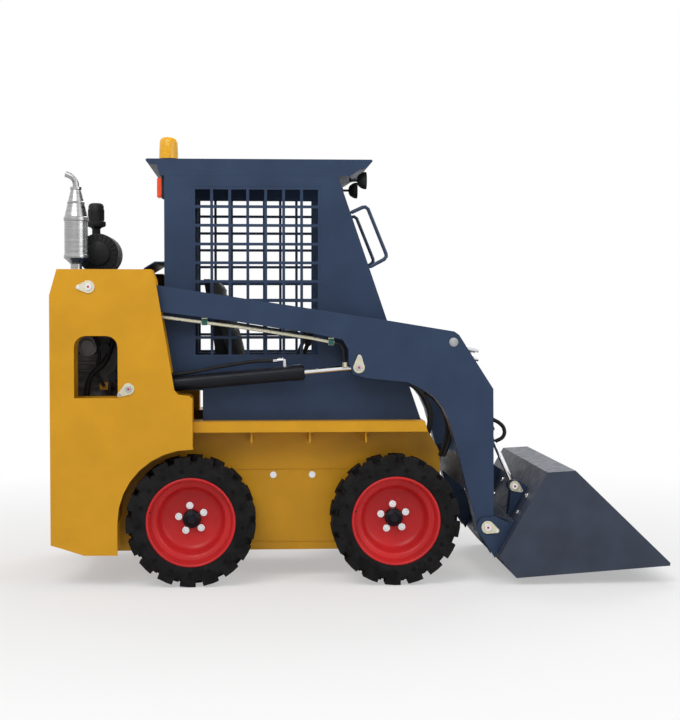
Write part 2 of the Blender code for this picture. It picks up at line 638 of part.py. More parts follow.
def make_cab_floor():
    """The seat deck, the step down to the footwell, and the footwell's floor."""
    top = DECK_Z + GAP + SHEET
    well = HULL_HALF_WIDTH - SHEET - GAP
    deck = box(CAB_FOOT_REAR_X, WELL_REAR_X, -CAB_HALF_WIDTH + SHEET + GAP, CAB_HALF_WIDTH - SHEET - GAP,
               DECK_Z + GAP, top)
    riser = box(WELL_REAR_X - SHEET, WELL_REAR_X, -well, well, WELL_FLOOR_Z - SHEET, top)
    floor = box(WELL_REAR_X - SHEET, HULL_FRONT_X - SHEET - GAP, -well, well, WELL_FLOOR_Z - SHEET, WELL_FLOOR_Z)
    piece("cab_floor", join(deck, riser, floor), "black_paint")


SEAT = (-0.590, -0.220, 0.230)       # rear, front, half width


def make_seat():
    rear, front, half = SEAT
    base_z = DECK_Z + SHEET + 2 * GAP
    cushion_z = SEAT_TOP_Z - 0.090
    piece("seat_base", box(rear, front - 0.03, -half + 0.03, half - 0.03, base_z, cushion_z - GAP), "black_paint")
    piece("seat_cushion", box(rear, front, -half, half, cushion_z, SEAT_TOP_Z), "vinyl")
    back = [(rear, SEAT_TOP_Z + 0.006), (-0.500, SEAT_TOP_Z + 0.006), (-0.620, 1.380), (-0.690, 1.380)]
    piece("seat_back", plate(back, -half, half), "vinyl")
    wall_x = CAB_REAR_X + SHEET + GAP
    seat_x = rear - 2 * GAP
    stay = [(wall_x, 0.905), (seat_x - 0.040, 0.905), (seat_x, 0.925), (seat_x, SEAT_TOP_Z + 0.006),
            (seat_x - 0.100, 1.380), (seat_x - 0.130, 1.380), (seat_x - 0.070, 1.000), (wall_x, 0.960)]
    bars = [plate(stay, *mirrored(side, 0.130, 0.160)) for _, side in SIDES]
    tie = box(wall_x, wall_x + 0.030, -0.140, 0.140, 0.915, 0.945)
    piece("seat_frame", join(tie, *bars), "black_paint")


def make_controls(label, side):
    """A drive lever on a pedestal beside the seat."""
    y = side * 0.300
    base_z = DECK_Z + SHEET + 2 * GAP
    pedestal = box(-0.330, -0.230, y - 0.035, y + 0.035, base_z, 0.900)
    lever = tube([(-0.280, y, 0.890), (-0.270, y, 1.000), (-0.235, y, 1.080)], 0.010)
    grip = rod((-0.240, y, 1.070), (-0.215, y, 1.150), 0.018, 12)
    piece(label + "_control", join(pedestal, lever, grip), "black_plastic")


def make_seat_bar():
    """A lap bar that swings up over the operator's head."""
    px, pz = SEAT_BAR_PIVOT
    y = 0.345
    corner = 0.05
    low = pz - 0.080
    front = -0.130
    half = [(px, y, pz), (px + 0.10, y, pz - 0.01), (-0.30, y, low), (front - corner, y, low),
            (front - 0.015, y - 0.015, low), (front, y - corner, low)]
    route = half + [(x, -yy, z) for x, yy, z in reversed(half)]
    bar = [tube(route, 0.012)]
    for _, side in SIDES:
        bar.append(cross_rod(SEAT_BAR_PIVOT, *mirrored(side, y - 0.012, CAB_HALF_WIDTH - SHEET - GAP), 0.022))
    piece("seat_bar", join(*bar), "black_paint", origin=(px, 0, pz), smooth=True)


def make_handle(label, side):
    y = side * (CAB_HALF_WIDTH - 0.020)
    z_top, z_low = 1.681, 1.433
    points = [(front_edge_x(z_top) + 0.007, y, z_top), (0.010, y, 1.704), (0.024, y, 1.706), (0.036, y, 1.697),
              (0.119, y, 1.492), (0.120, y, 1.480), (0.110, y, 1.467), (front_edge_x(z_low) + 0.007, y, z_low)]
    tabs = [box(front_edge_x(z - 0.006) + GAP, front_edge_x(z) + 0.010, y - 0.012, y + 0.012, z - 0.006, z + 0.006)
            for z in (z_top, z_low)]
    piece(label + "_handle", join(tube(points, 0.0085), *tabs), "slate_paint", smooth=True)


def make_lights():
    dome = turned([(0, 0.140), (0.030, 0.138), (0.040, 0.126), (0.046, 0.045), (0.052, 0.040), (0.052, 0), (0, 0)],
                  (-0.890, 0, ROOF_TOP_Z + GAP), steps=20)
    piece("beacon", dome, "amber_lens", smooth=True)
    for label, side in SIDES:
        y = side * 0.330
        lamp = box(-0.927, CAB_REAR_X - GAP, y - 0.030, y + 0.030, 1.746, 1.842)
        piece(label + "_tail_light", lamp, "red_lens")
        y = side * 0.300
        z = 1.832
        body = join(rod((-0.008, y, z), (0.028, y, z), LAMP_RADIUS * 0.7, 16, LAMP_RADIUS),
                    rod((0.027, y, z), (0.034, y, z), LAMP_RADIUS, 16),
                    box(-0.045, 0.004, y - 0.012, y + 0.012, z - 0.006, z + 0.006),
                    box(-0.045, -0.038, y - 0.012, y + 0.012, z - 0.006, CAB_EAVES_Z + 0.0015))
        piece(label + "_work_light", body, "black_plastic", smooth=True)


def build():
    make_hull()
    for label, side in SIDES:
        make_tower(label, side)
    make_engine_bay()
    make_rear_door()
    for end, x in (("rear", REAR_AXLE_X), ("front", FRONT_AXLE_X)):
        for label, side in SIDES:
            make_wheel(f"{label}_{end}", side, x)
    for label, side in SIDES:
        make_arm(label, side)
        make_arm_tubes(label, side)
        make_cylinder(label + "_lift", LIFT_BASE, ROD_PIN, side * CYLINDER_Y, LIFT_BARREL_LENGTH, LIFT_BARREL_RADIUS,
                      LIFT_ROD_RADIUS, 0.019)
        make_cylinder(label + "_tilt", TILT_BASE, TILT_PIN, side * TILT_Y, TILT_BARREL_LENGTH, TILT_BARREL_RADIUS,
                      TILT_ROD_RADIUS, 0.016)
    cross = box(0.470, 0.550, -ARM_INNER_Y + GAP, ARM_INNER_Y - GAP, 0.420, 0.550)
    piece("arm_cross_tube", cross, "slate_paint")
    make_coupler()
    make_bucket()
    for label, side in SIDES:
        make_cab_side(label, side)
        make_grille(label, side)
        make_controls(label, side)
        make_handle(label, side)
    make_cab_shell()
    make_cab_floor()
    make_seat()
    make_seat_bar()
    make_lights()


build()
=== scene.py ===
"""The looks of the skid steer loader: finishes, tyre tread, wheels, pins, hoses, lamps and cushions."""
import json
import math
import bmesh
import bpy
from mathutils import Matrix, Vector


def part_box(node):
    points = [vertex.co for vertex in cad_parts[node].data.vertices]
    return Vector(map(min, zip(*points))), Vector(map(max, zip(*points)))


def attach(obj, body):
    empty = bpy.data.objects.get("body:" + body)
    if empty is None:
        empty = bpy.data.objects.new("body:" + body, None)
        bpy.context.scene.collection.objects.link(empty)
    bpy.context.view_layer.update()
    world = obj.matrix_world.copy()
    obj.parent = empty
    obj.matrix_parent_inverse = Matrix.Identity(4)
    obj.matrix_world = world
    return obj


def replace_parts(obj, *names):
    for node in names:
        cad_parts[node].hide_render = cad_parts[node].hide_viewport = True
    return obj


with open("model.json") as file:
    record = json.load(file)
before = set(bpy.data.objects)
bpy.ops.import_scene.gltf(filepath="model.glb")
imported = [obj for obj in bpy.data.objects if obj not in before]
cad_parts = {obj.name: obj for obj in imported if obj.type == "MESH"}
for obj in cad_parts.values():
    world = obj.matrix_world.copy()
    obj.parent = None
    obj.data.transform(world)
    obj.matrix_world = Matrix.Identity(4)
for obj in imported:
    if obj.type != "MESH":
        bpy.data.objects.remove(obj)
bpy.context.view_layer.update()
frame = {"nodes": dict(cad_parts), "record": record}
NODES = frame["nodes"]
SIDES = (("right", -1), ("left", 1))

# Places in metres: X forward, Y to the left and Z up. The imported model's joints give the pivots.
JOINTS = {joint["name"]: joint for joint in frame["record"]["behaviour"]["joints"]}
ARM_PIVOT = JOINTS["arm_lift"]["pos_m"]
BUCKET_PIN = JOINTS["bucket_tilt"]["pos_m"]
LIFT_BASE = JOINTS["lift_barrel_swing"]["pos_m"]
TILT_BASE = JOINTS["tilt_barrel_swing"]["pos_m"]
LIFT_AXIS = Vector(JOINTS["lift_rod_slide"]["axis"])
TILT_AXIS = Vector(JOINTS["tilt_rod_slide"]["axis"])
ROD_PIN = (-0.016, 0, 0.978)
TILT_PIN = (0.713, 0, 0.424)
KNEE_PIN = (0.412, 0, 1.091)

# Outer faces and centre planes of the right and left pieces, as distances from the middle
TOWER_Y = 0.555
ARM_Y = 0.520
COUPLER_Y = 0.534
TILT_LUG_Y = 0.3965
HULL_Y = 0.330
LEDGE_Y = 0.499
LIFT_Y = 0.470
TILT_Y = 0.360
LINE_Y = 0.490
CONTROL_Y = 0.300
WORK_LAMP_Y = 0.300

# What lies on a face stands off it by this much
HAIR = 0.0003


# ---------------------------------------------------------------- materials

FULL_SHINE = 0.5


def new_material(name):
    material = bpy.data.materials.new(name)
    material.use_nodes = True
    tree = material.node_tree
    return material, tree, tree.nodes["Principled BSDF"]


def add_noise(tree, scale, detail=4.0, stretch=(1, 1, 1)):
    place = tree.nodes.new("ShaderNodeTexCoord")
    mapping = tree.nodes.new("ShaderNodeMapping")
    mapping.inputs["Scale"].default_value = stretch
    noise = tree.nodes.new("ShaderNodeTexNoise")
    noise.inputs["Scale"].default_value = scale
    noise.inputs["Detail"].default_value = detail
    tree.links.new(place.outputs["Object"], mapping.inputs["Vector"])
    tree.links.new(mapping.outputs["Vector"], noise.inputs["Vector"])
    return noise


def add_ramp(tree, factor, low, high, start=0.35, end=0.65):
    ramp = tree.nodes.new("ShaderNodeValToRGB")
    ramp.color_ramp.elements[0].position = start
    ramp.color_ramp.elements[1].position = end
    ramp.color_ramp.elements[0].color = (*low, 1)
    ramp.color_ramp.elements[1].color = (*high, 1)
    tree.links.new(factor, ramp.inputs["Fac"])
    return ramp


def add_bump(tree, shader, height, strength, distance=0.002):
    bump = tree.nodes.new("ShaderNodeBump")
    bump.inputs["Strength"].default_value = strength
    bump.inputs["Distance"].default_value = distance
    tree.links.new(height, bump.inputs["Height"])
    tree.links.new(bump.outputs["Normal"], shader.inputs["Normal"])
    return bump


def shade(name, colour, spread=0.08, roughness=(0.35, 0.5), metallic=0.0, coat=0.0, scale=6.0,
          fine=220.0, bump=0.05, stretch=(1, 1, 1), shine=0.2):
    """A finish with slow colour variation, uneven gloss and a fine surface."""
    material, tree, shader = new_material(name)
    slow = add_noise(tree, scale, stretch=stretch)
    low = tuple(max(0.0, c * (1 - spread)) for c in colour)
    high = tuple(min(1.0, c * (1 + spread)) for c in colour)
    tint = add_ramp(tree, slow.outputs["Fac"], low, high)
    tree.links.new(tint.outputs["Color"], shader.inputs["Base Color"])
    gloss = add_noise(tree, scale * 5, stretch=stretch)
    rough = add_ramp(tree, gloss.outputs["Fac"], (roughness[0],) * 3, (roughness[1],) * 3)
    tree.links.new(rough.outputs["Color"], shader.inputs["Roughness"])
    shader.inputs["Metallic"].default_value = metallic
    shader.inputs["Specular IOR Level"].default_value = FULL_SHINE if metallic > 0.5 else shine
    shader.inputs["Coat Weight"].default_value = coat
    shader.inputs["Coat Roughness"].default_value = 0.2
    grain = add_noise(tree, fine, 2.0, stretch)
    add_bump(tree, shader, grain.outputs["Fac"], bump)
    return material


YELLOW = shade("yellow_enamel", (0.600, 0.292, 0.010), 0.05, (0.34, 0.44), coat=0.03, bump=0.03, shine=0.25)
SLATE = shade("slate_enamel", (0.024, 0.043, 0.088), 0.10, (0.34, 0.46), coat=0.02, bump=0.04)
BUCKET_SLATE = shade("bucket_enamel", (0.039, 0.048, 0.073), 0.14, (0.40, 0.55), bump=0.07)
WORN_STEEL = shade("worn_steel", (0.46, 0.46, 0.47), 0.20, (0.28, 0.50), 0.9, scale=18, bump=0.08)
RED = shade("red_enamel", (0.540, 0.022, 0.024), 0.08, (0.30, 0.42), coat=0.05, bump=0.03)
RUBBER = shade("tyre_rubber_moulded", (0.010, 0.0095, 0.010), 0.35, (0.72, 0.92), scale=22, fine=420,
               bump=0.25, shine=0.12)
# Near-black painted shade for the insides of holes and pipe mouths
PAINTED_HOLE_SHADE = shade("painted_hole_shade", (0.003, 0.003, 0.003), 0.1, (0.9, 1.0), bump=0.02)
BLACK = shade("black_enamel", (0.008, 0.009, 0.013), 0.15, (0.30, 0.45), bump=0.05, shine=0.15)
PLASTIC = shade("black_moulding", (0.016, 0.016, 0.017), 0.15, (0.42, 0.58), fine=600, bump=0.15)
HOSE = shade("hose_rubber", (0.011, 0.011, 0.012), 0.2, (0.5, 0.65), fine=900, bump=0.3)
CHROME = shade("hard_chrome", (0.78, 0.78, 0.80), 0.03, (0.08, 0.16), 1.0, bump=0.01)
STAINLESS = shade("brushed_stainless", (0.40, 0.405, 0.40), 0.12, (0.20, 0.34), 1.0, scale=9, fine=160,
                  bump=0.12, stretch=(1, 1, 14))
ZINC = shade("plated_line", (0.70, 0.66, 0.50), 0.06, (0.24, 0.36), 0.55, bump=0.03)
CLAMP_GREEN = shade("clamp_green", (0.020, 0.100, 0.080), 0.10, (0.42, 0.55), bump=0.05)
CAST = shade("cast_iron_grey", (0.20, 0.20, 0.205), 0.20, (0.5, 0.7), 0.4, scale=14, fine=260, bump=0.4)
OCHRE = shade("ochre_part", (0.48, 0.24, 0.03), 0.12, (0.45, 0.6), bump=0.05)
VINYL = shade("seat_vinyl", (0.018, 0.018, 0.020), 0.18, (0.48, 0.62), fine=520, bump=0.35)


def lens(name, colour, emission):
    """A glossy ribbed lens that glows a little, as if light came through it."""
    material, tree, shader = new_material(name)
    noise = add_noise(tree, 60.0)
    ramp = add_ramp(tree, noise.outputs["Fac"], tuple(c * 0.85 for c in colour), colour)
    tree.links.new(ramp.outputs["Color"], shader.inputs["Base Color"])
    shader.inputs["Roughness"].default_value = 0.12
    shader.inputs["Coat Weight"].default_value = 0.15
    shader.inputs["Specular IOR Level"].default_value = 0.3
    shader.inputs["Emission Color"].default_value = (*colour, 1)
    shader.inputs["Emission Strength"].default_value = emission
    ribs = tree.nodes.new("ShaderNodeTexWave")
    ribs.inputs["Scale"].default_value = 60.0
    place = tree.nodes.new("ShaderNodeTexCoord")
    tree.links.new(place.outputs["Object"], ribs.inputs["Vector"])
    add_bump(tree, shader, ribs.outputs["Fac"], 0.25, 0.001)
    return material


AMBER = lens("amber_lens_ribbed", (0.92, 0.46, 0.012), 0.08)
RED_LENS = lens("red_lens_ribbed", (0.85, 0.07, 0.02), 0.15)
CLEAR_LENS = lens("clear_lens_ribbed", (0.80, 0.82, 0.84), 0.0)


# ---------------------------------------------------------------- shapes

def add_mesh(name, bm, material, body, smooth=True, angle=35):
    """Makes a piece of the mesh built so far, on its body and in its material slot."""
    mesh = bpy.data.meshes.new(name)
    bmesh.ops.recalc_face_normals(bm, faces=bm.faces)
    bm.to_mesh(mesh)
    bm.free()
    obj = bpy.data.objects.new(name, mesh)
    bpy.context.scene.collection.objects.link(obj)
    mesh.materials.append(material)
    if smooth:
        mesh.shade_smooth()
        mesh.set_sharp_from_angle(angle=math.radians(angle))
    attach(obj, body)
    return obj


def bevel(obj, width, segments=2):
    """Rounds the sharp edges with a modifier, and gives the piece back."""
    modifier = obj.modifiers.new("edge", "BEVEL")
    modifier.width = width
    modifier.segments = segments
    modifier.limit_method = "ANGLE"
    modifier.angle_limit = math.radians(40)
    modifier.harden_normals = True
    return obj


def put_box(bm, low, high, turn=None, centre=None):
    """A box between two corners, or turned about its middle and set on a centre."""
    made = bmesh.ops.create_cube(bm, size=1.0)["verts"]
    size = Vector(high) - Vector(low)
    middle = (Vector(high) + Vector(low)) / 2
    bmesh.ops.scale(bm, vec=size, verts=made)
    if turn:
        bmesh.ops.rotate(bm, cent=(0, 0, 0), matrix=turn, verts=made)
    bmesh.ops.translate(bm, vec=centre or middle, verts=made)
    return made


def put_rod(bm, start, end, radius, sides=24, end_radius=None):
    """A rod, or a cone where the end has its own radius; six sides make a hexagon head."""
    start, end = Vector(start), Vector(end)
    along = end - start
    made = bmesh.ops.create_cone(bm, cap_ends=True, segments=sides, radius1=radius, depth=along.length,
                                 radius2=radius if end_radius is None else end_radius)["verts"]
    turn = along.to_track_quat("Z", "Y").to_matrix().to_4x4()
    bmesh.ops.transform(bm, matrix=Matrix.Translation((start + end) / 2) @ turn, verts=made)
    return made


def put_turned(bm, profile, centre, axis, steps=96):
    """A closed profile of (radius, height) turned about an axis through the centre."""
    up = Vector(axis).normalized()
    turn = up.to_track_quat("Z", "Y").to_matrix()
    rings = []
    for step in range(steps):
        angle = 2 * math.pi * step / steps
        ring = []
        for radius, height in profile:
            point = turn @ Vector((radius * math.cos(angle), radius * math.sin(angle), height))
            ring.append(bm.verts.new(point + Vector(centre)))
        rings.append(ring)
    for step in range(steps):
        here, there = rings[step], rings[(step + 1) % steps]
        for index in range(len(profile)):
            follow = (index + 1) % len(profile)
            if profile[index][0] == 0 and profile[follow][0] == 0:
                continue
            bm.faces.new((here[index], there[index], there[follow], here[follow]))
    bmesh.ops.remove_doubles(bm, verts=bm.verts, dist=0.00001)


def pipe(name, points, radius, material, body, smooth_route=True):
    """A round pipe or hose along a route, as a mesh with closed ends."""
    curve = bpy.data.curves.new(name, "CURVE")
    curve.dimensions = "3D"
    curve.bevel_depth = radius
    curve.bevel_resolution = 4
    curve.use_fill_caps = True
    curve.resolution_u = 8
    spline = curve.splines.new("BEZIER" if smooth_route else "POLY")
    if smooth_route:
        spline.bezier_points.add(len(points) - 1)
        for point, place in zip(spline.bezier_points, points):
            point.co = place
            point.handle_left_type = "AUTO"
            point.handle_right_type = "AUTO"
    else:
        spline.points.add(len(points) - 1)
        for point, place in zip(spline.points, points):
            point.co = (*place, 1)
    obj = bpy.data.objects.new(name + "_route", curve)
    bpy.context.scene.collection.objects.link(obj)
    graph = bpy.context.evaluated_depsgraph_get()
    mesh = bpy.data.meshes.new_from_object(obj.evaluated_get(graph))
    bpy.data.objects.remove(obj, do_unlink=True)
    bm = bmesh.new()
    bm.from_mesh(mesh)
    bmesh.ops.remove_doubles(bm, verts=bm.verts, dist=0.00001)
    return add_mesh(name, bm, material, body)


def repaint(node, material, edge=0.0):
    """Gives a CAD node its finish, and rounds its edges where a width is given."""
    obj = NODES[node]
    obj.data.materials.clear()
    obj.data.materials.append(material)
    if edge:
        bevel(obj, edge)


# ---------------------------------------------------------------- camera, light and floor

CAMERA_PLACE = (-0.504, -7.3, 1.2485)
CAMERA_DIP = 2.0
CAMERA_TURN = -3.4
CAMERA_LENS = 75.75
CAMERA_SENSOR = 36.0
WORLD_STRENGTH = 0.46
LIGHTS_AIM = Vector((0, 0, 0.8))

# Each soft light: name, place, size and power
LIGHTS = (("key", (-2.5, -5.0, 5.5), 4.0, 225),
          ("fill", (4.5, -4.0, 3.0), 3.5, 90),
          ("rim", (1.0, 5.0, 5.0), 4.0, 150))


def make_camera():
    scene = bpy.context.scene
    data = bpy.data.cameras.new("camera")
    data.sensor_fit = "VERTICAL"
    data.sensor_height = CAMERA_SENSOR
    data.lens = CAMERA_LENS
    camera = bpy.data.objects.new("camera", data)
    camera.location = CAMERA_PLACE
    camera.rotation_euler = (math.radians(90 - CAMERA_DIP), 0, math.radians(CAMERA_TURN))
    scene.collection.objects.link(camera)
    scene.camera = camera
    scene.view_settings.view_transform = "Standard"


def make_floor():
    """A pale floor that keeps the shadow near the machine and goes over into white further out."""
    reach, top, depth = 30, -0.001, 0.019
    bm = bmesh.new()
    put_box(bm, (-reach, -reach, top - depth), (reach, reach, top))
    mesh = bpy.data.meshes.new("floor")
    bm.to_mesh(mesh)
    bm.free()
    floor = bpy.data.objects.new("floor", mesh)
    bpy.context.scene.collection.objects.link(floor)
    material, tree, shader = new_material("pale_floor")
    shader.inputs["Base Color"].default_value = (0.86, 0.86, 0.86, 1)
    shader.inputs["Roughness"].default_value = 0.9
    shader.inputs["Specular IOR Level"].default_value = 0.0
    glow = tree.nodes.new("ShaderNodeEmission")
    glow.inputs["Color"].default_value = (1, 1, 1, 1)
    place = tree.nodes.new("ShaderNodeTexCoord")
    distance = tree.nodes.new("ShaderNodeVectorMath")
    distance.operation = "LENGTH"
    far = tree.nodes.new("ShaderNodeMapRange")
    far.inputs["From Min"].default_value = 1.6
    far.inputs["From Max"].default_value = 4.5
    far.inputs["To Min"].default_value = 0.42
    far.inputs["To Max"].default_value = 1.0
    seen = tree.nodes.new("ShaderNodeLightPath")
    part = tree.nodes.new("ShaderNodeMath")
    part.operation = "MULTIPLY"
    mixed = tree.nodes.new("ShaderNodeMixShader")
    links = tree.links
    links.new(place.outputs["Object"], distance.inputs[0])
    links.new(distance.outputs["Value"], far.inputs["Value"])
    links.new(far.outputs["Result"], part.inputs[0])
    links.new(seen.outputs["Is Camera Ray"], part.inputs[1])
    links.new(part.outputs[0], mixed.inputs["Fac"])
    links.new(shader.outputs["BSDF"], mixed.inputs[1])
    links.new(glow.outputs["Emission"], mixed.inputs[2])
    links.new(mixed.outputs["Shader"], tree.nodes["Material Output"].inputs["Surface"])
    mesh.materials.append(material)


def make_world():
    """A soft grey sky for the light, and plain white where the camera or a reflection sees it."""
    world = bpy.data.worlds.new("studio")
    world.use_nodes = True
    bpy.context.scene.world = world
    nodes, links = world.node_tree.nodes, world.node_tree.links
    soft = nodes["Background"]
    soft.inputs["Color"].default_value = (1, 1, 1, 1)
    soft.inputs["Strength"].default_value = WORLD_STRENGTH
    white = nodes.new("ShaderNodeBackground")
    white.inputs["Color"].default_value = (1, 1, 1, 1)
    path = nodes.new("ShaderNodeLightPath")
    seen = nodes.new("ShaderNodeMath")
    seen.operation = "MAXIMUM"
    mix = nodes.new("ShaderNodeMixShader")
    links.new(path.outputs["Is Camera Ray"], seen.inputs[0])
    links.new(path.outputs["Is Glossy Ray"], seen.inputs[1])
    links.new(seen.outputs[0], mix.inputs["Fac"])
    links.new(soft.outputs[0], mix.inputs[1])
    links.new(white.outputs[0], mix.inputs[2])
    links.new(mix.outputs[0], nodes["World Output"].inputs["Surface"])


def make_lights():
    for name, place, size, power in LIGHTS:
        light = bpy.data.lights.new(name, "AREA")
        light.size = size
        light.energy = power
        lamp = bpy.data.objects.new(name, light)
        lamp.location = place
        lamp.rotation_euler = (LIGHTS_AIM - Vector(place)).to_track_quat("-Z", "Y").to_euler()
        bpy.context.scene.collection.objects.link(lamp)


# ---------------------------------------------------------------- wheels

LUGS = 17
LUG_STEP = 2 * math.pi / LUGS
LUG_DRAFT = 0.003
TYRE_RADIUS = 0.290
TREAD_BASE = TYRE_RADIUS - 0.022
HOLE_RING = 0.231
HOLE_RADIUS = 0.0105
BEAD_RADIUS = 0.2000
FLANGE_Y = 0.570
DISC_Y = 0.410
RIM_WIDTH = 0.190
WHEEL_BOLTS = 5
BOLT_RING = 0.060
VALVE_RING = 0.187
VALVE_ANGLE = 2.9

# How far round the first bolt stands, in degrees
FIRST_BOLT = {"rear": 98.7, "front": 94.0}


def make_tyre(label, x, side):
    """A solid tyre: a carcass, 17 pairs of L-shaped lugs, and by each a dark disc in the wall, painted
    shade for a hole.
    """
    low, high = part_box(label + "_tyre")
    centre = Vector((x, (low[1] + high[1]) / 2, TYRE_RADIUS))
    half = (high[1] - low[1]) / 2

    def corner(radius, angle, across):
        return centre + Vector((radius * math.cos(angle), side * across, radius * math.sin(angle)))

    def block(start, end, inner, outer, root, crown):
        """A tapered tread block between two angles and two distances across the tyre."""
        ring = []
        for radius, trim in ((root, 0.0), (crown, LUG_DRAFT)):
            first, last = start + trim / radius, end - trim / radius
            near, far = inner + trim, outer - trim
            for angle, across in ((first, near), (last, near), (last, far), (first, far)):
                ring.append(bm.verts.new(corner(radius, angle, across)))
        for face in ((0, 1, 2, 3), (7, 6, 5, 4), (0, 4, 5, 1), (1, 5, 6, 2), (2, 6, 7, 3), (3, 7, 4, 0)):
            bm.faces.new([ring[i] for i in face])

    bm = bmesh.new()
    wall = [(0.2005, -half + 0.004), (0.214, -half), (0.245, -half + 0.001),
            (TREAD_BASE - 0.008, -half + 0.006), (TREAD_BASE, -half + 0.018), (TREAD_BASE, half - 0.018),
            (TREAD_BASE - 0.008, half - 0.006), (0.245, half - 0.001), (0.214, half),
            (0.2005, half - 0.004)]
    put_turned(bm, wall, centre, (0, side, 0), LUGS * 8)
    crown = TYRE_RADIUS - 0.0005
    # A lug's blocks: from and to in steps round the tyre, inner and outer across it, root and crown radius
    blocks = ((0.00, 0.46, 0.004, half - 0.003, TREAD_BASE - 0.012, crown),
              (0.40, 0.72, half - 0.045, half - 0.003, TREAD_BASE - 0.012, crown),
              (0.02, 0.44, half - 0.012, half, TREAD_BASE - 0.034, TREAD_BASE + 0.006))
    for index in range(LUGS):
        for flank, shift in ((1, 0.0), (-1, LUG_STEP / 2)):
            start = LUG_STEP * (index + 0.25) + shift
            for opens, closes, inner, outer, root, top in blocks:
                near, far = sorted((flank * inner, flank * outer))
                block(start + LUG_STEP * opens, start + LUG_STEP * closes, near, far, root, top)
    tyre = add_mesh(label + "_tyre_tread", bm, RUBBER, label + "_wheel", angle=28)
    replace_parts(tyre, label + "_tyre")

    # Dark discs of painted shade on the wall stand in for the tyre's holes
    bm = bmesh.new()
    for index in range(LUGS):
        angle = LUG_STEP * (index + 0.70)
        for flank in (-1, 1):
            middle = corner(HOLE_RING, angle, flank * (half - 0.0008))
            lay = Matrix.Translation(middle) @ Matrix.Rotation(math.pi / 2, 4, "X")
            bmesh.ops.create_cone(bm, cap_ends=True, segments=16, radius1=HOLE_RADIUS,
                                  radius2=HOLE_RADIUS, depth=0.002, matrix=lay)
    add_mesh(label + "_tyre_shaded_holes", bm, PAINTED_HOLE_SHADE, label + "_wheel")


def make_rim(label, x, side, first_bolt):
    """A pressed rim with a rolled flange and a dished disc, its hub cap, wheel bolts and valve."""
    body = label + "_wheel"
    centre = Vector((x, 0, TYRE_RADIUS))
    # Depths of the outline inside the flange, then over the disc's inner face, as (radius, depth)
    flange = ((BEAD_RADIUS, RIM_WIDTH), (BEAD_RADIUS, 0.014), (BEAD_RADIUS, 0.005), (0.1965, 0.0015),
              (0.1920, 0.0015), (0.1880, 0.006), (0.1835, 0.020), (0.1815, 0.046), (0.1770, 0.056),
              (0.1600, 0.060), (0.1535, 0.064), (0.1500, 0.074))
    disc = ((0.1470, 0.052), (0.1420, 0.038), (0.1330, 0.028), (0.1180, 0.022), (0.0900, 0.018),
            (0.0600, 0.018), (0.0380, 0.018), (0.0380, 0.002), (0.0900, 0.001), (0.1250, 0.003),
            (0.1550, 0.012), (0.1790, 0.020), (0.1850, 0.002))
    profile = [(radius, FLANGE_Y - depth) for radius, depth in flange]
    profile += [(radius, DISC_Y + height) for radius, height in disc]
    profile.append((0.1850, FLANGE_Y - RIM_WIDTH))
    bm = bmesh.new()
    put_turned(bm, profile, centre, (0, side, 0), 112)
    rim = add_mesh(label + "_rim_pressed", bm, RED, body, angle=50)
    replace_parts(rim, label + "_rim")

    cap = ((0, 0.060), (0.018, 0.060), (0.022, 0.056), (0.030, 0.052), (0.038, 0.048), (0.041, 0.040),
           (0.041, 0.001), (0, 0.001))
    bm = bmesh.new()
    put_turned(bm, [(radius, DISC_Y + height) for radius, height in cap], centre, (0, side, 0), 48)
    add_mesh(label + "_hub_cap", bm, BLACK, body)

    bm = bmesh.new()
    for index in range(WHEEL_BOLTS):
        angle = math.radians(first_bolt) + 2 * math.pi * index / WHEEL_BOLTS
        foot = centre + Vector((BOLT_RING * math.cos(angle), side * (DISC_Y + 0.016),
                                BOLT_RING * math.sin(angle)))
        put_rod(bm, foot, foot + Vector((0, side * 0.004, 0)), 0.0165, 28)
        put_rod(bm, foot, foot + Vector((0, side * 0.017, 0)), 0.0120, 6)
        put_rod(bm, foot, foot + Vector((0, side * 0.026, 0)), 0.0070, 16, 0.0060)
    bevel(add_mesh(label + "_wheel_bolts", bm, CHROME, body, smooth=False), 0.0008)

    bm = bmesh.new()
    foot = centre + Vector((VALVE_RING * math.cos(VALVE_ANGLE), side * (FLANGE_Y - 0.014),
                            VALVE_RING * math.sin(VALVE_ANGLE)))
    put_rod(bm, foot, foot + Vector((0, side * 0.010, 0)), 0.004, 12)
    add_mesh(label + "_valve", bm, BLACK, body)


def make_wheels():
    for end in ("rear", "front"):
        for side_label, side in SIDES:
            label = f"{side_label}_{end}"
            x = JOINTS[label + "_wheel_spin"]["pos_m"][0]
            make_tyre(label, x, side)
            make_rim(label, x, side, FIRST_BOLT[end])


# ---------------------------------------------------------------- pins and bolts

KEEPER = 0.006
KEEPER_OPENING = math.radians(58)
KEEPER_TAIL = 0.36
PIN_STANDS = 0.008


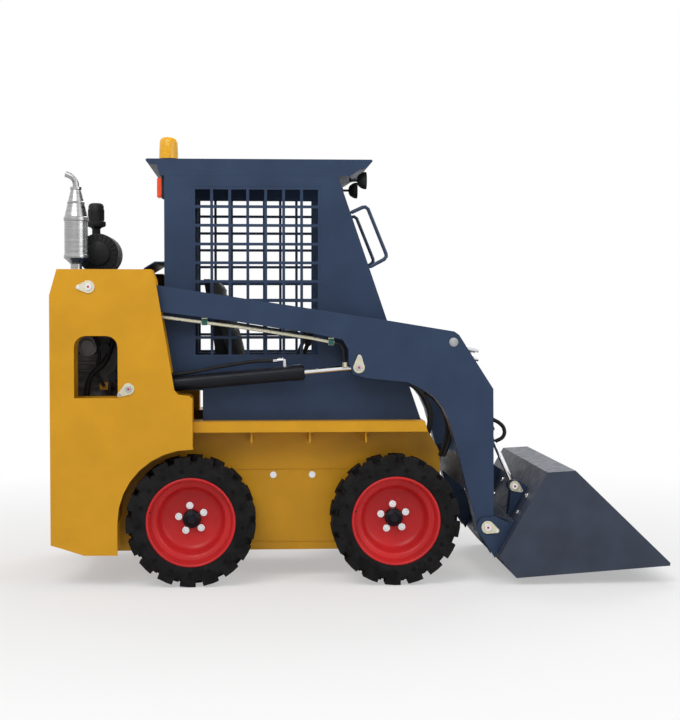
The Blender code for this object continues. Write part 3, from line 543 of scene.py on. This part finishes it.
def make_pin(name, centre, y, side, tail, radius, body):
    """A pivot pin's face: a teardrop keeper plate, the pin's end, a nipple and the keeper's bolt."""
    heading = math.atan2(tail[1], tail[0])
    outline = []
    for step in range(25):
        angle = heading + KEEPER_OPENING + (2 * math.pi - 2 * KEEPER_OPENING) * step / 24
        outline.append((radius * math.cos(angle), radius * math.sin(angle)))
    for step in range(9):
        angle = heading - KEEPER_OPENING + 2 * KEEPER_OPENING * step / 8
        outline.append((tail[0] + radius * KEEPER_TAIL * math.cos(angle),
                        tail[1] + radius * KEEPER_TAIL * math.sin(angle)))
    bm = bmesh.new()
    low = [bm.verts.new((centre[0] + px, y * side, centre[2] + pz)) for px, pz in outline]
    high = [bm.verts.new((centre[0] + px, (y + KEEPER) * side, centre[2] + pz)) for px, pz in outline]
    bm.faces.new(low)
    bm.faces.new(high[::-1])
    for index in range(len(outline)):
        follow = (index + 1) % len(outline)
        bm.faces.new((low[index], low[follow], high[follow], high[index]))
    bevel(add_mesh(name + "_keeper", bm, ZINC, body, angle=30), 0.001)

    top = Vector((centre[0], (y + KEEPER) * side, centre[2]))
    pin_face = top + Vector((0, PIN_STANDS * side, 0))
    bolt = top + Vector((tail[0] * 0.96, 0, tail[1] * 0.96))
    bm = bmesh.new()
    put_rod(bm, top, pin_face, radius * 0.60, 36, radius * 0.55)
    put_rod(bm, bolt, bolt + Vector((0, 0.006 * side, 0)), 0.0075, 6)
    add_mesh(name + "_pin_end", bm, CHROME, body)
    bm = bmesh.new()
    put_rod(bm, pin_face, pin_face + Vector((0, 0.005 * side, 0)), 0.0055, 14, 0.003)
    add_mesh(name + "_nipple", bm, RED, body)


def make_pins():
    # Each pin: name, centre, the face it lies on, its keeper's tail, its radius and its body
    pins = (("arm_pivot", ARM_PIVOT, TOWER_Y + HAIR, (-0.045, -0.002), 0.028, "chassis"),
            ("lift_base", LIFT_BASE, TOWER_Y + HAIR, (-0.040, -0.026), 0.026, "chassis"),
            ("rod_pin", ROD_PIN, ARM_Y + HAIR, (0.002, 0.048), 0.026, "arms"),
            ("bucket_pin", BUCKET_PIN, COUPLER_Y + HAIR, (0.042, -0.016), 0.029, "bucket"),
            ("tilt_pin", TILT_PIN, TILT_LUG_Y, (0.030, -0.022), 0.024, "bucket"))
    for label, side in SIDES:
        for name, centre, y, tail, radius, body in pins:
            make_pin(f"{label}_{name}", centre, y, side, tail, radius, body)


def put_bolt(bm, place, normal, size=0.009):
    """A hexagon head on its washer."""
    place, normal = Vector(place), Vector(normal).normalized()
    put_rod(bm, place, place + normal * 0.002, size * 1.5, 24)
    put_rod(bm, place + normal * 0.002, place + normal * 0.008, size, 6)


def make_bolts():
    bm = bmesh.new()
    for _, side in SIDES:
        for x in (-0.398, -0.219):
            put_bolt(bm, (x, side * (HULL_Y + 0.0005), 0.476), (0, side, 0), 0.010)
    add_mesh("hull_bolts", bm, CHROME, "chassis", smooth=False)
    bm = bmesh.new()
    for _, side in SIDES:
        foot = Vector((KNEE_PIN[0], side * ARM_Y, KNEE_PIN[2]))
        put_rod(bm, foot, foot + Vector((0, side * 0.003, 0)), 0.020, 28)
        put_rod(bm, foot, foot + Vector((0, side * 0.006, 0)), 0.013, 28)
    add_mesh("knee_pins", bm, WORN_STEEL, "arms")


# ---------------------------------------------------------------- hull and rear door

def make_seams():
    """The fold and weld lines along the hull and its ledges."""
    # Each seam: rear and front ends, distance from the middle, height and radius
    seams = ((-0.560, -0.060, HULL_Y + 0.0015, 0.503, 0.0022),
             (-0.500, -0.100, HULL_Y + 0.0015, 0.168, 0.0018),
             (-0.755, 0.282, LEDGE_Y, 0.7335, 0.0022))
    bm = bmesh.new()
    for _, side in SIDES:
        for rear, front, y, z, radius in seams:
            put_rod(bm, (rear, side * y, z), (front, side * y, z), radius, 8)
    add_mesh("hull_seams", bm, YELLOW, "chassis")


def make_door_trim():
    """Two columns of louvres and a latch on the rear door."""
    half_blade = Vector((0.002, 0.150, 0.012))
    slant = Matrix.Rotation(math.radians(35), 3, "Y")
    bm = bmesh.new()
    for column in (-0.19, 0.19):
        for row in range(11):
            middle = Vector((-1.3745, column, 0.72 + row * 0.034))
            put_box(bm, -half_blade, half_blade, slant, middle)
    bevel(add_mesh("rear_door_louvres", bm, YELLOW, "rear_door", smooth=False), 0.0008)
    latch = (-1.372, -0.325, 0.98)
    bm = bmesh.new()
    put_turned(bm, [(0, 0.006), (0.016, 0.006), (0.018, 0.003), (0.018, 0), (0, 0)], latch, (-1, 0, 0), 32)
    put_box(bm, (latch[0] - 0.011, latch[1] - 0.015, latch[2] - 0.006),
            (latch[0] - 0.004, latch[1] + 0.015, latch[2] + 0.006))
    add_mesh("rear_door_latch", bm, CHROME, "rear_door")


# ---------------------------------------------------------------- engine bay

BAY_HOSE_Y = 0.340


def make_bay_hose(name, side, route, radius):
    """A held hose in the bay; its route gives (x, z, share of the hose plane's distance)."""
    points = [(x, side * BAY_HOSE_Y * share, z) for x, z, share in route]
    pipe(name, points, radius, HOSE, "chassis")


def make_bay():
    """What shows of the engine through the tower windows."""
    bm = bmesh.new()
    for index in range(7):
        z = 0.84 + index * 0.036
        put_box(bm, (-1.300, -0.268, z), (-1.190, -0.249, z + 0.014))
        put_box(bm, (-1.300, 0.249, z), (-1.190, 0.268, z + 0.014))
    for _, side in SIDES:
        put_rod(bm, (-1.245, side * 0.250, 1.070), (-1.245, side * 0.330, 1.070), 0.046, 36)
        put_rod(bm, (-1.245, side * 0.330, 1.070), (-1.245, side * 0.345, 1.070), 0.030, 36)
    bevel(add_mesh("engine_casting", bm, CAST, "chassis", smooth=False), 0.002)
    bm = bmesh.new()
    for _, side in SIDES:
        put_box(bm, (-1.190, side * 0.31 - 0.02, 0.870), (-1.140, side * 0.31 + 0.02, 0.905))
    bevel(add_mesh("engine_ochre_valve", bm, OCHRE, "chassis", smooth=False), 0.003)
    for label, side in SIDES:
        make_bay_hose(label + "_bay_hose_a", side, ((-1.255, 0.80, 1.0), (-1.230, 0.93, 1.0),
                                                    (-1.165, 1.00, 1.0), (-1.120, 1.12, 1.0)), 0.013)
        make_bay_hose(label + "_bay_hose_b", side, ((-1.130, 0.78, 1.0), (-1.140, 0.90, 1.02),
                                                    (-1.105, 0.98, 1.0), (-1.100, 1.13, 1.0)), 0.010)
        make_bay_hose(label + "_bay_hose_c", side, ((-1.215, 1.13, 1.0), (-1.190, 1.04, 1.02),
                                                    (-1.200, 0.95, 1.0), (-1.170, 0.89, 1.0)), 0.008)
        bm = bmesh.new()
        for x, z in ((-1.165, 1.060), (-1.125, 0.930)):
            put_rod(bm, (x, side * 0.300, z), (x, side * 0.365, z), 0.024, 24)
            put_rod(bm, (x, side * 0.365, z), (x, side * 0.373, z), 0.016, 6)
        add_mesh(label + "_bay_fittings", bm, BLACK, "chassis")


# ---------------------------------------------------------------- on the engine cover and roof

MUFFLER_RADIUS = 0.057
TAIL_PIPE_RADIUS = 0.0145
TAIL_PIPE_BEND = 0.045
FILTER_RINGS = 13


def make_muffler():
    """A spun muffler with its clamp and a bent tail pipe."""
    low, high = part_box("muffler")
    x = high[0] - MUFFLER_RADIUS
    y = (low[1] + high[1]) / 2
    profile = [(0.0, 1.800), (0.0262, 1.800), (0.0262, 1.789), (0.0235, 1.786), (0.0270, 1.772),
               (0.0365, 1.734), (0.0400, 1.731), (0.0400, 1.726), (0.0390, 1.722), (0.0530, 1.664),
               (0.0565, 1.661), (MUFFLER_RADIUS, 1.652), (0.0565, 1.645), (0.0535, 1.643),
               (0.0538, 1.600), (0.0538, 1.492), (0.0565, 1.489), (MUFFLER_RADIUS, 1.481),
               (0.0565, 1.474), (0.0530, 1.471), (0.0400, 1.460), (0.0262, 1.446), (0.0255, 1.406),
               (0.0, 1.406)]
    bm = bmesh.new()
    put_turned(bm, profile, (x, y, 0), (0, 0, 1), 72)
    body = add_mesh("muffler_turned", bm, STAINLESS, "chassis", angle=25)
    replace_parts(body, "muffler")

    bend_z = 1.812
    route = [(x, y, 1.795), (x, y, bend_z)]
    for step in range(1, 7):
        angle = math.radians(65 * step / 6)
        route.append((x - TAIL_PIPE_BEND + TAIL_PIPE_BEND * math.cos(angle), y,
                      bend_z + TAIL_PIPE_BEND * math.sin(angle)))
    route.append((route[-1][0] - 0.020, y, route[-1][2] + 0.008))
    pipe("muffler_tail", route, TAIL_PIPE_RADIUS, STAINLESS, "chassis", False)

    # A dark disc just inside the tail pipe's mouth is painted shade for the pipe's inside
    mouth, last = Vector(route[-1]), Vector(route[-2])
    along = (mouth - last).normalized()
    bm = bmesh.new()
    put_rod(bm, mouth + along * 0.0002, mouth + along * 0.0010, TAIL_PIPE_RADIUS - 0.003, 32)
    add_mesh("muffler_mouth_shade", bm, PAINTED_HOLE_SHADE, "chassis")
    bm = bmesh.new()
    clamp = [(0.0262, 1.412), (0.0300, 1.412), (0.0300, 1.424), (0.0262, 1.424)]
    put_turned(bm, clamp, (x, y, 0), (0, 0, 1), 48)
    put_box(bm, (x + 0.026, y - 0.006, 1.411), (x + 0.044, y + 0.006, 1.425))
    add_mesh("muffler_clamp", bm, ZINC, "chassis")


def make_air_filter():
    """A ringed filter drum with a ribbed end on its foot."""
    low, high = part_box("air_filter")
    x = (low[0] + high[0]) / 2
    radius = (high[0] - low[0]) / 2
    z = high[2] - radius
    start, end = low[1] + 0.020, high[1]
    width = (end - start) / FILTER_RINGS
    profile = [(0, start)]
    for index in range(FILTER_RINGS):
        at = start + (end - start) * index / FILTER_RINGS
        profile += [(radius - 0.006, at + 0.001), (radius - 0.0005, at + 0.004),
                    (radius - 0.0005, at + width - 0.005), (radius - 0.006, at + width - 0.002)]
    profile += [(radius - 0.010, end), (0, end)]
    cap = [(0, low[1]), (0.040, low[1]), (0.056, low[1] + 0.006), (0.057, start + 0.002),
           (0, start + 0.002)]
    bm = bmesh.new()
    put_turned(bm, profile, (x, 0, z), (0, 1, 0), 72)
    put_turned(bm, cap, (x, 0, z), (0, 1, 0), 48)
    put_box(bm, (x - 0.05, -0.080, low[2]), (x + 0.05, 0.080, z - radius * 0.72))
    drum = add_mesh("air_filter_drum", bm, PLASTIC, "chassis", angle=30)
    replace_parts(drum, "air_filter")

    ribs, ring = 24, 0.076
    half_rib = Vector((0.016, 0.002, 0.0022))
    bm = bmesh.new()
    for index in range(ribs):
        angle = 2 * math.pi * index / ribs
        middle = Vector((x + ring * math.cos(angle), start - 0.001, z + ring * math.sin(angle)))
        put_box(bm, -half_rib, half_rib, Matrix.Rotation(-angle, 3, "Y"), middle)
    add_mesh("air_filter_ribs", bm, PLASTIC, "chassis", smooth=False)


def make_pre_cleaner():
    """The vaned bowl over the filter, and the filter's red drain valve."""
    low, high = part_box("pre_cleaner")
    x, z = (low[0] + high[0]) / 2, low[2]
    bowl = [(0, 0.150), (0.022, 0.149), (0.032, 0.144), (0.0365, 0.134), (0.0375, 0.100),
            (0.0380, 0.064), (0.0450, 0.060), (0.0458, 0.054), (0.0458, 0.044), (0.0430, 0.038),
            (0.0260, 0.032), (0.0200, 0.026), (0.0200, 0.001), (0, 0.001)]
    bm = bmesh.new()
    put_turned(bm, bowl, (x, 0, z), (0, 0, 1), 64)
    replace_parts(add_mesh("pre_cleaner_bowl", bm, PLASTIC, "chassis"), "pre_cleaner")
    vanes, ring = 18, 0.0375
    half_vane = Vector((0.0015, 0.002, 0.024))
    bm = bmesh.new()
    for index in range(vanes):
        angle = 2 * math.pi * index / vanes
        middle = Vector((x + ring * math.cos(angle), ring * math.sin(angle), z + 0.094))
        put_box(bm, -half_vane, half_vane, Matrix.Rotation(angle, 3, "Z"), middle)
    add_mesh("pre_cleaner_vanes", bm, PLASTIC, "chassis", smooth=False)
    # The drain valve takes the glowing red lens finish, so it shows painted light though it is no lamp
    valve = Vector((x + 0.012, -0.045, z - 0.186))
    bm = bmesh.new()
    put_rod(bm, valve, valve + Vector((0, -0.070, 0)), 0.009, 20)
    add_mesh("filter_drain_valve", bm, RED_LENS, "chassis")


def make_beacon():
    low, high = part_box("beacon")
    place = ((low[0] + high[0]) / 2, 0, low[2])
    dome = [(0, 0.1395), (0.020, 0.1385), (0.033, 0.1340), (0.040, 0.126), (0.0430, 0.110),
            (0.0450, 0.060), (0.0455, 0.036), (0, 0.036)]
    base = [(0, 0.0355), (0.0490, 0.0355), (0.0515, 0.030), (0.0515, 0.004), (0.0500, 0.001), (0, 0.001)]
    bm = bmesh.new()
    put_turned(bm, dome, place, (0, 0, 1), 72)
    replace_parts(add_mesh("beacon_dome", bm, AMBER, "chassis"), "beacon")
    bm = bmesh.new()
    put_turned(bm, base, place, (0, 0, 1), 72)
    add_mesh("beacon_base", bm, PLASTIC, "chassis")


def make_tail_lamp(label):
    low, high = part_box(label + "_tail_light")
    bm = bmesh.new()
    put_box(bm, (low[0] + 0.002, low[1], low[2]), (high[0] - 0.010, high[1], high[2] - 0.006))
    lamp = add_mesh(label + "_tail_lens", bm, RED_LENS, "chassis")
    bevel(lamp, 0.006, 4)
    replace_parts(lamp, label + "_tail_light")
    bm = bmesh.new()
    put_box(bm, (high[0] - 0.012, low[1] - 0.004, low[2] - 0.004), (high[0], high[1] + 0.004, high[2]))
    bevel(add_mesh(label + "_tail_base", bm, PLASTIC, "chassis"), 0.002)


def make_work_lamp(label, side):
    """A round work lamp that looks forward, on a bracket under the roof."""
    y, z, bracket_top = side * WORK_LAMP_Y, 1.832, 1.8452
    shell = [(0, -0.010), (0.016, -0.009), (0.027, -0.002), (0.036, 0.012), (0.0395, 0.022),
             (0.0400, 0.033), (0.0370, 0.034), (0.0350, 0.026), (0, 0.024)]
    glass = [(0, 0.031), (0.020, 0.0305), (0.0355, 0.028), (0.0355, 0.025), (0, 0.025)]
    bm = bmesh.new()
    put_turned(bm, shell, (0, y, z), (1, 0, 0), 56)
    put_box(bm, (-0.045, y - 0.011, z - 0.005), (-0.004, y + 0.011, z + 0.005))
    put_box(bm, (-0.045, y - 0.011, z - 0.005), (-0.038, y + 0.011, bracket_top))
    body = add_mesh(label + "_work_lamp_body", bm, PLASTIC, "chassis")
    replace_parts(body, label + "_work_light")
    bm = bmesh.new()
    put_turned(bm, glass, (0, y, z), (1, 0, 0), 56)
    add_mesh(label + "_work_lamp_lens", bm, CLEAR_LENS, "chassis")


# ---------------------------------------------------------------- hydraulics

HOSE_RADIUS = 0.0085


def make_line_trim(label, side):
    """The hose at the front of the arm's oil line, its two hexagon ends and the line's clamps."""
    y = side * LINE_Y
    route = ((-0.125, 1.088), (-0.098, 1.082), (-0.085, 1.060), (-0.080, 1.020), (-0.076, 0.985))
    pipe(label + "_arm_hose", [(x, y, z) for x, z in route], HOSE_RADIUS, HOSE, "arms")
    bm = bmesh.new()
    for start, end in (((-0.150, 1.0935), (-0.128, 1.0885)), ((-0.0768, 1.000), (-0.0760, 0.978))):
        put_rod(bm, (start[0], y, start[1]), (end[0], y, end[1]), 0.012, 6)
    add_mesh(label + "_hose_ends", bm, ZINC, "arms", smooth=False)
    bm = bmesh.new()
    for x, z in ((-0.707, 1.1825), (-0.140, 1.0935)):
        put_box(bm, (x - 0.0125, y - 0.0145, z - 0.0155), (x + 0.0125, y + 0.0145, z + 0.0145))
    clamps = add_mesh(label + "_line_clamps", bm, CLAMP_GREEN, "arms", smooth=False)
    bevel(clamps, 0.002)


def put_collars(bm, base, axis, collars, sides):
    """Rings round a cylinder; each gives its start and end along the axis, and its radius."""
    for start, end, radius in collars:
        put_rod(bm, base + axis * start, base + axis * end, radius, sides)


def make_lift_trim(label, side):
    """The lift cylinder's collars, the elbow at its rod end and the hose along its barrel."""
    axis = LIFT_AXIS
    up = Vector((-axis.z, 0, axis.x))
    base = Vector((LIFT_BASE[0], side * LIFT_Y, LIFT_BASE[2]))
    bm = bmesh.new()
    collars = ((0.735, 0.778, 0.0365), (0.776, 0.786, 0.028), (0.052, 0.066, 0.0362))
    put_collars(bm, base, axis, collars, 40)
    add_mesh(label + "_lift_gland", bm, BLACK, "lift_barrels")
    port = base + axis * 0.700 + up * 0.032
    turn = port + up * 0.032
    bm = bmesh.new()
    put_rod(bm, port, port + up * 0.018, 0.012, 6)
    put_rod(bm, port + up * 0.018, port + up * 0.034, 0.008, 20)
    put_rod(bm, turn - axis * 0.004, turn - axis * 0.055, 0.0075, 20)
    put_rod(bm, turn - axis * 0.030, turn - axis * 0.050, 0.0105, 6)
    add_mesh(label + "_lift_elbow", bm, CHROME, "lift_barrels")
    start = turn - axis * 0.050
    route = [start, start - axis * 0.08 + up * 0.004, start - axis * 0.22 - up * 0.004,
             start - axis * 0.40 - up * 0.020, base + axis * 0.14 + up * 0.042]
    pipe(label + "_lift_hose", route, HOSE_RADIUS, HOSE, "lift_barrels")


def make_tilt_trim(label, side):
    base = Vector((TILT_BASE[0], side * TILT_Y, TILT_BASE[2]))
    bm = bmesh.new()
    put_collars(bm, base, TILT_AXIS, ((0.425, 0.458, 0.0292), (0.457, 0.465, 0.021)), 36)
    add_mesh(label + "_tilt_gland", bm, BLACK, "tilt_barrels")


def make_front_hoses(label, side):
    """Two held hoses over the hull's nose, and a short one inside the arm's front."""
    for index, (y, push) in enumerate(((0.350, 0.0), (0.372, 0.014))):
        y *= side
        route = [(0.300 + push, y, 0.860), (0.352 + push, y, 0.820), (0.398 + push, y * 1.01, 0.740),
                 (0.402 + push, y, 0.650), (0.372 + push, y, 0.560)]
        pipe(f"{label}_nose_hose_{index}", route, 0.0095, HOSE, "chassis")
    y = side * 0.395
    route = ((0.560, 0.800), (0.608, 0.735), (0.640, 0.716), (0.662, 0.690), (0.660, 0.655), (0.622, 0.630))
    pipe(label + "_knee_hose", [(x, y, z) for x, z in route], 0.009, HOSE, "arms")


def make_couplers(y):
    """Two quick couplers on the front of the right arm."""
    bm = bmesh.new()
    for z in (1.060, 1.020):
        put_rod(bm, (0.470, y, z), (0.520, y, z - 0.008), 0.014, 24)
        put_rod(bm, (0.520, y, z - 0.008), (0.534, y, z - 0.010), 0.009, 24)
    add_mesh("aux_couplers", bm, CHROME, "arms")


def make_hydraulics():
    for label, side in SIDES:
        make_line_trim(label, side)
        make_lift_trim(label, side)
        make_tilt_trim(label, side)
        make_front_hoses(label, side)
        if label == "right":
            make_couplers(side * 0.455)


# ---------------------------------------------------------------- bucket

BUCKET_HALF = 0.5990
BUCKET_WALL = 0.011
EDGE_DEPTH = 0.135
FLOOR_HEEL = Vector((0.688, 0, 0.033))
FLOOR_TIP = Vector((1.387, 0, 0.082))
LIP_REAR = Vector((0.8275, 0, 0.5065))
LIP_FRONT = Vector((0.9550, 0, 0.5134))
BACK_FOOT = Vector((0.612, 0, 0.134))
BACK_HEAD = Vector((0.826, 0, 0.506))


def make_cutting_edge():
    """A worn steel strip inside the bucket's front edge, with its bolts."""
    along = (FLOOR_TIP - FLOOR_HEEL).normalized()
    up = Vector((-along.z, 0, along.x))
    start = FLOOR_TIP - along * EDGE_DEPTH
    corners = (start + up * 0.0105, start + up * 0.0165, FLOOR_TIP - along * 0.004 + up * 0.011,
               FLOOR_TIP - along * 0.001 + up * 0.0105)
    bm = bmesh.new()
    rings = []
    for y in (BUCKET_WALL - BUCKET_HALF, BUCKET_HALF - BUCKET_WALL):
        rings.append([bm.verts.new((corner.x, y, corner.z)) for corner in corners])
    bm.faces.new(rings[0])
    bm.faces.new(rings[1][::-1])
    for index in range(4):
        follow = (index + 1) % 4
        bm.faces.new((rings[0][index], rings[0][follow], rings[1][follow], rings[1][index]))
    add_mesh("cutting_edge", bm, WORN_STEEL, "bucket", smooth=False)
    bm = bmesh.new()
    for index in range(7):
        y = 0.16 * (index - 3)
        put_bolt(bm, start + along * 0.055 + up * 0.0150 + Vector((0, y, 0)), up, 0.011)
    add_mesh("cutting_edge_bolts", bm, WORN_STEEL, "bucket", smooth=False)


def make_bucket_trim():
    """A strip along the bucket's top lip, and the bolts that hold the coupler to its back."""
    slope = LIP_FRONT - LIP_REAR
    turn = Matrix.Rotation(-math.atan2(slope.z, slope.x), 3, "Y")
    half_strip = Vector((slope.length / 2, BUCKET_HALF - 0.0005, 0.0012))
    bm = bmesh.new()
    put_box(bm, -half_strip, half_strip, turn, (LIP_REAR + LIP_FRONT) / 2)
    strip = add_mesh("bucket_lip_strip", bm, BUCKET_SLATE, "bucket", smooth=False)
    bevel(strip, 0.0006)
    rise = (BACK_HEAD - BACK_FOOT).normalized()
    behind = Vector((-rise.z, 0, rise.x))
    bm = bmesh.new()
    for side in (-1, 1):
        for up_by in (0.205, 0.290):
            for y in (0.20, 0.47):
                place = BACK_FOOT + rise * up_by + behind * 0.0008 + Vector((0, side * y, 0))
                put_bolt(bm, place, behind, 0.010)
    add_mesh("coupler_bolts", bm, CHROME, "bucket", smooth=False)


# ---------------------------------------------------------------- seat and controls

CUSHION_COLUMNS = 28
CUSHION_ROWS = 24
CUSHION_EDGE = 0.004
BACK_THICKNESS = 0.085
BACK_PAD_FOOT = Vector((-0.500, 0, 0.938))
BACK_PAD_RISE = Vector((-0.120, 0, 0.440))
BACK_PAD_NORMAL = Vector((0.965, 0, 0.263))


def crown(u, v, channels):
    """How high the cushion's top stands, with soft edges and its channels sewn down."""
    edge = (1 - abs(2 * u - 1) ** 4) * (1 - abs(2 * v - 1) ** 4)
    sewn = max(math.exp(-((u - at) / 0.018) ** 2) for at in channels)
    return 0.55 + 0.45 * max(edge, 0.0) ** 0.5 - 0.12 * sewn


def make_cushion(name, node, channels, lean):
    """A crowned cushion with sewn channels, inside the box of its plain CAD solid."""
    low, high = (Vector(corner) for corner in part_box(node))
    size = high - low
    bm = bmesh.new()
    grid = {}
    for layer in (0, 1):
        for i in range(CUSHION_COLUMNS + 1):
            for j in range(CUSHION_ROWS + 1):
                u, v = i / CUSHION_COLUMNS, j / CUSHION_ROWS
                top = crown(u, v, channels)
                height = top if layer else 0.12 * (1 - top)
                across = low.y + CUSHION_EDGE + (size.y - 2 * CUSHION_EDGE) * v
                if lean:
                    thick = BACK_THICKNESS * (1.0 if u < 0.98 else 0.9)
                    point = BACK_PAD_FOOT + BACK_PAD_RISE * u + BACK_PAD_NORMAL * (height - 1.0) * thick
                    point.y = across
                else:
                    pull = 0.040 * v * (1 - v) * abs(2 * u - 1) ** 6
                    length = low.x + CUSHION_EDGE + (size.x - 2 * CUSHION_EDGE) * u
                    point = Vector((length, across, low.z + 0.001 + (size.z - 0.002) * height))
                    point.x += pull if u < 0.5 else -pull
                grid[layer, i, j] = bm.verts.new(point)
    columns, rows = CUSHION_COLUMNS, CUSHION_ROWS
    for i in range(columns):
        for j in range(rows):
            bm.faces.new([grid[1, i, j], grid[1, i + 1, j], grid[1, i + 1, j + 1], grid[1, i, j + 1]])
            bm.faces.new([grid[0, i, j + 1], grid[0, i + 1, j + 1], grid[0, i + 1, j], grid[0, i, j]])
        for j in (0, rows):
            bm.faces.new([grid[0, i, j], grid[0, i + 1, j], grid[1, i + 1, j], grid[1, i, j]])
    for j in range(rows):
        for i in (0, columns):
            bm.faces.new([grid[0, i, j], grid[0, i, j + 1], grid[1, i, j + 1], grid[1, i, j]])
    cushion = add_mesh(name, bm, VINYL, "chassis", angle=60)
    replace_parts(cushion, node)


def make_control(label, side):
    """A drive lever: a ribbed grip on a bent rod, with a rubber boot on its box."""
    y = side * CONTROL_Y
    grip = [(0, 0.078), (0.012, 0.077), (0.0170, 0.070), (0.0178, 0.060), (0.0150, 0.050),
            (0.0172, 0.040), (0.0150, 0.030), (0.0172, 0.020), (0.0160, 0.006), (0.010, 0.0), (0, 0)]
    boot = [(0, 0.052), (0.014, 0.050), (0.024, 0.034), (0.026, 0.026), (0.031, 0.014), (0.034, 0.002),
            (0, 0.001)]
    bm = bmesh.new()
    put_turned(bm, grip, (-0.2400, y, 1.0705), (0.298, 0, 0.954), 32)
    put_rod(bm, (-0.280, y, 0.890), (-0.270, y, 1.000), 0.0098, 20)
    put_rod(bm, (-0.270, y, 0.998), (-0.237, y, 1.078), 0.0098, 20)
    put_turned(bm, boot, (-0.280, y, 0.900), (0, 0, 1), 32)
    put_box(bm, (-0.330, y - 0.035, 0.7425), (-0.230, y + 0.035, 0.8995))
    stick = add_mesh(label + "_control_stick", bm, PLASTIC, "chassis")
    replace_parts(stick, label + "_control")


# ---------------------------------------------------------------- finishes of the CAD nodes

def paint_all():
    for node in ("main_frame", "right_tower", "left_tower", "rear_door"):
        repaint(node, YELLOW, 0.0015)
    for node in ("right_arm", "left_arm", "arm_cross_tube", "coupler", "cab_roof", "engine_cover"):
        repaint(node, SLATE, 0.0018)
    for node in ("right_cab_side", "left_cab_side", "cab_rear_wall", "right_window_grille",
                 "left_window_grille", "right_handle", "left_handle"):
        repaint(node, SLATE)
    repaint("bucket", BUCKET_SLATE, 0.0015)
    for node in ("cab_floor", "seat_base", "seat_frame", "seat_bar"):
        repaint(node, BLACK)
    repaint("engine_block", CAST, 0.006)
    for label, _ in SIDES:
        repaint(label + "_arm_line", ZINC)
        for pair in ("lift", "tilt"):
            repaint(f"{label}_{pair}_barrel", BLACK)
            repaint(f"{label}_{pair}_rod", CHROME)
        for end in ("rear", "front"):
            repaint(f"{label}_{end}_axle", BLACK)


make_camera()
make_floor()
make_world()
make_lights()
paint_all()
make_wheels()
make_pins()
make_bolts()
make_seams()
make_door_trim()
make_bay()
make_muffler()
make_air_filter()
make_pre_cleaner()
make_beacon()
for side_label, side_sign in SIDES:
    make_tail_lamp(side_label)
    make_work_lamp(side_label, side_sign)
make_hydraulics()
make_cutting_edge()
make_bucket_trim()
make_cushion("seat_cushion_pad", "seat_cushion", (0.18, 0.5, 0.82), False)
make_cushion("seat_back_pad", "seat_back", (0.15, 0.5, 0.85), True)
for side_label, side_sign in SIDES:
    make_control(side_label, side_sign)
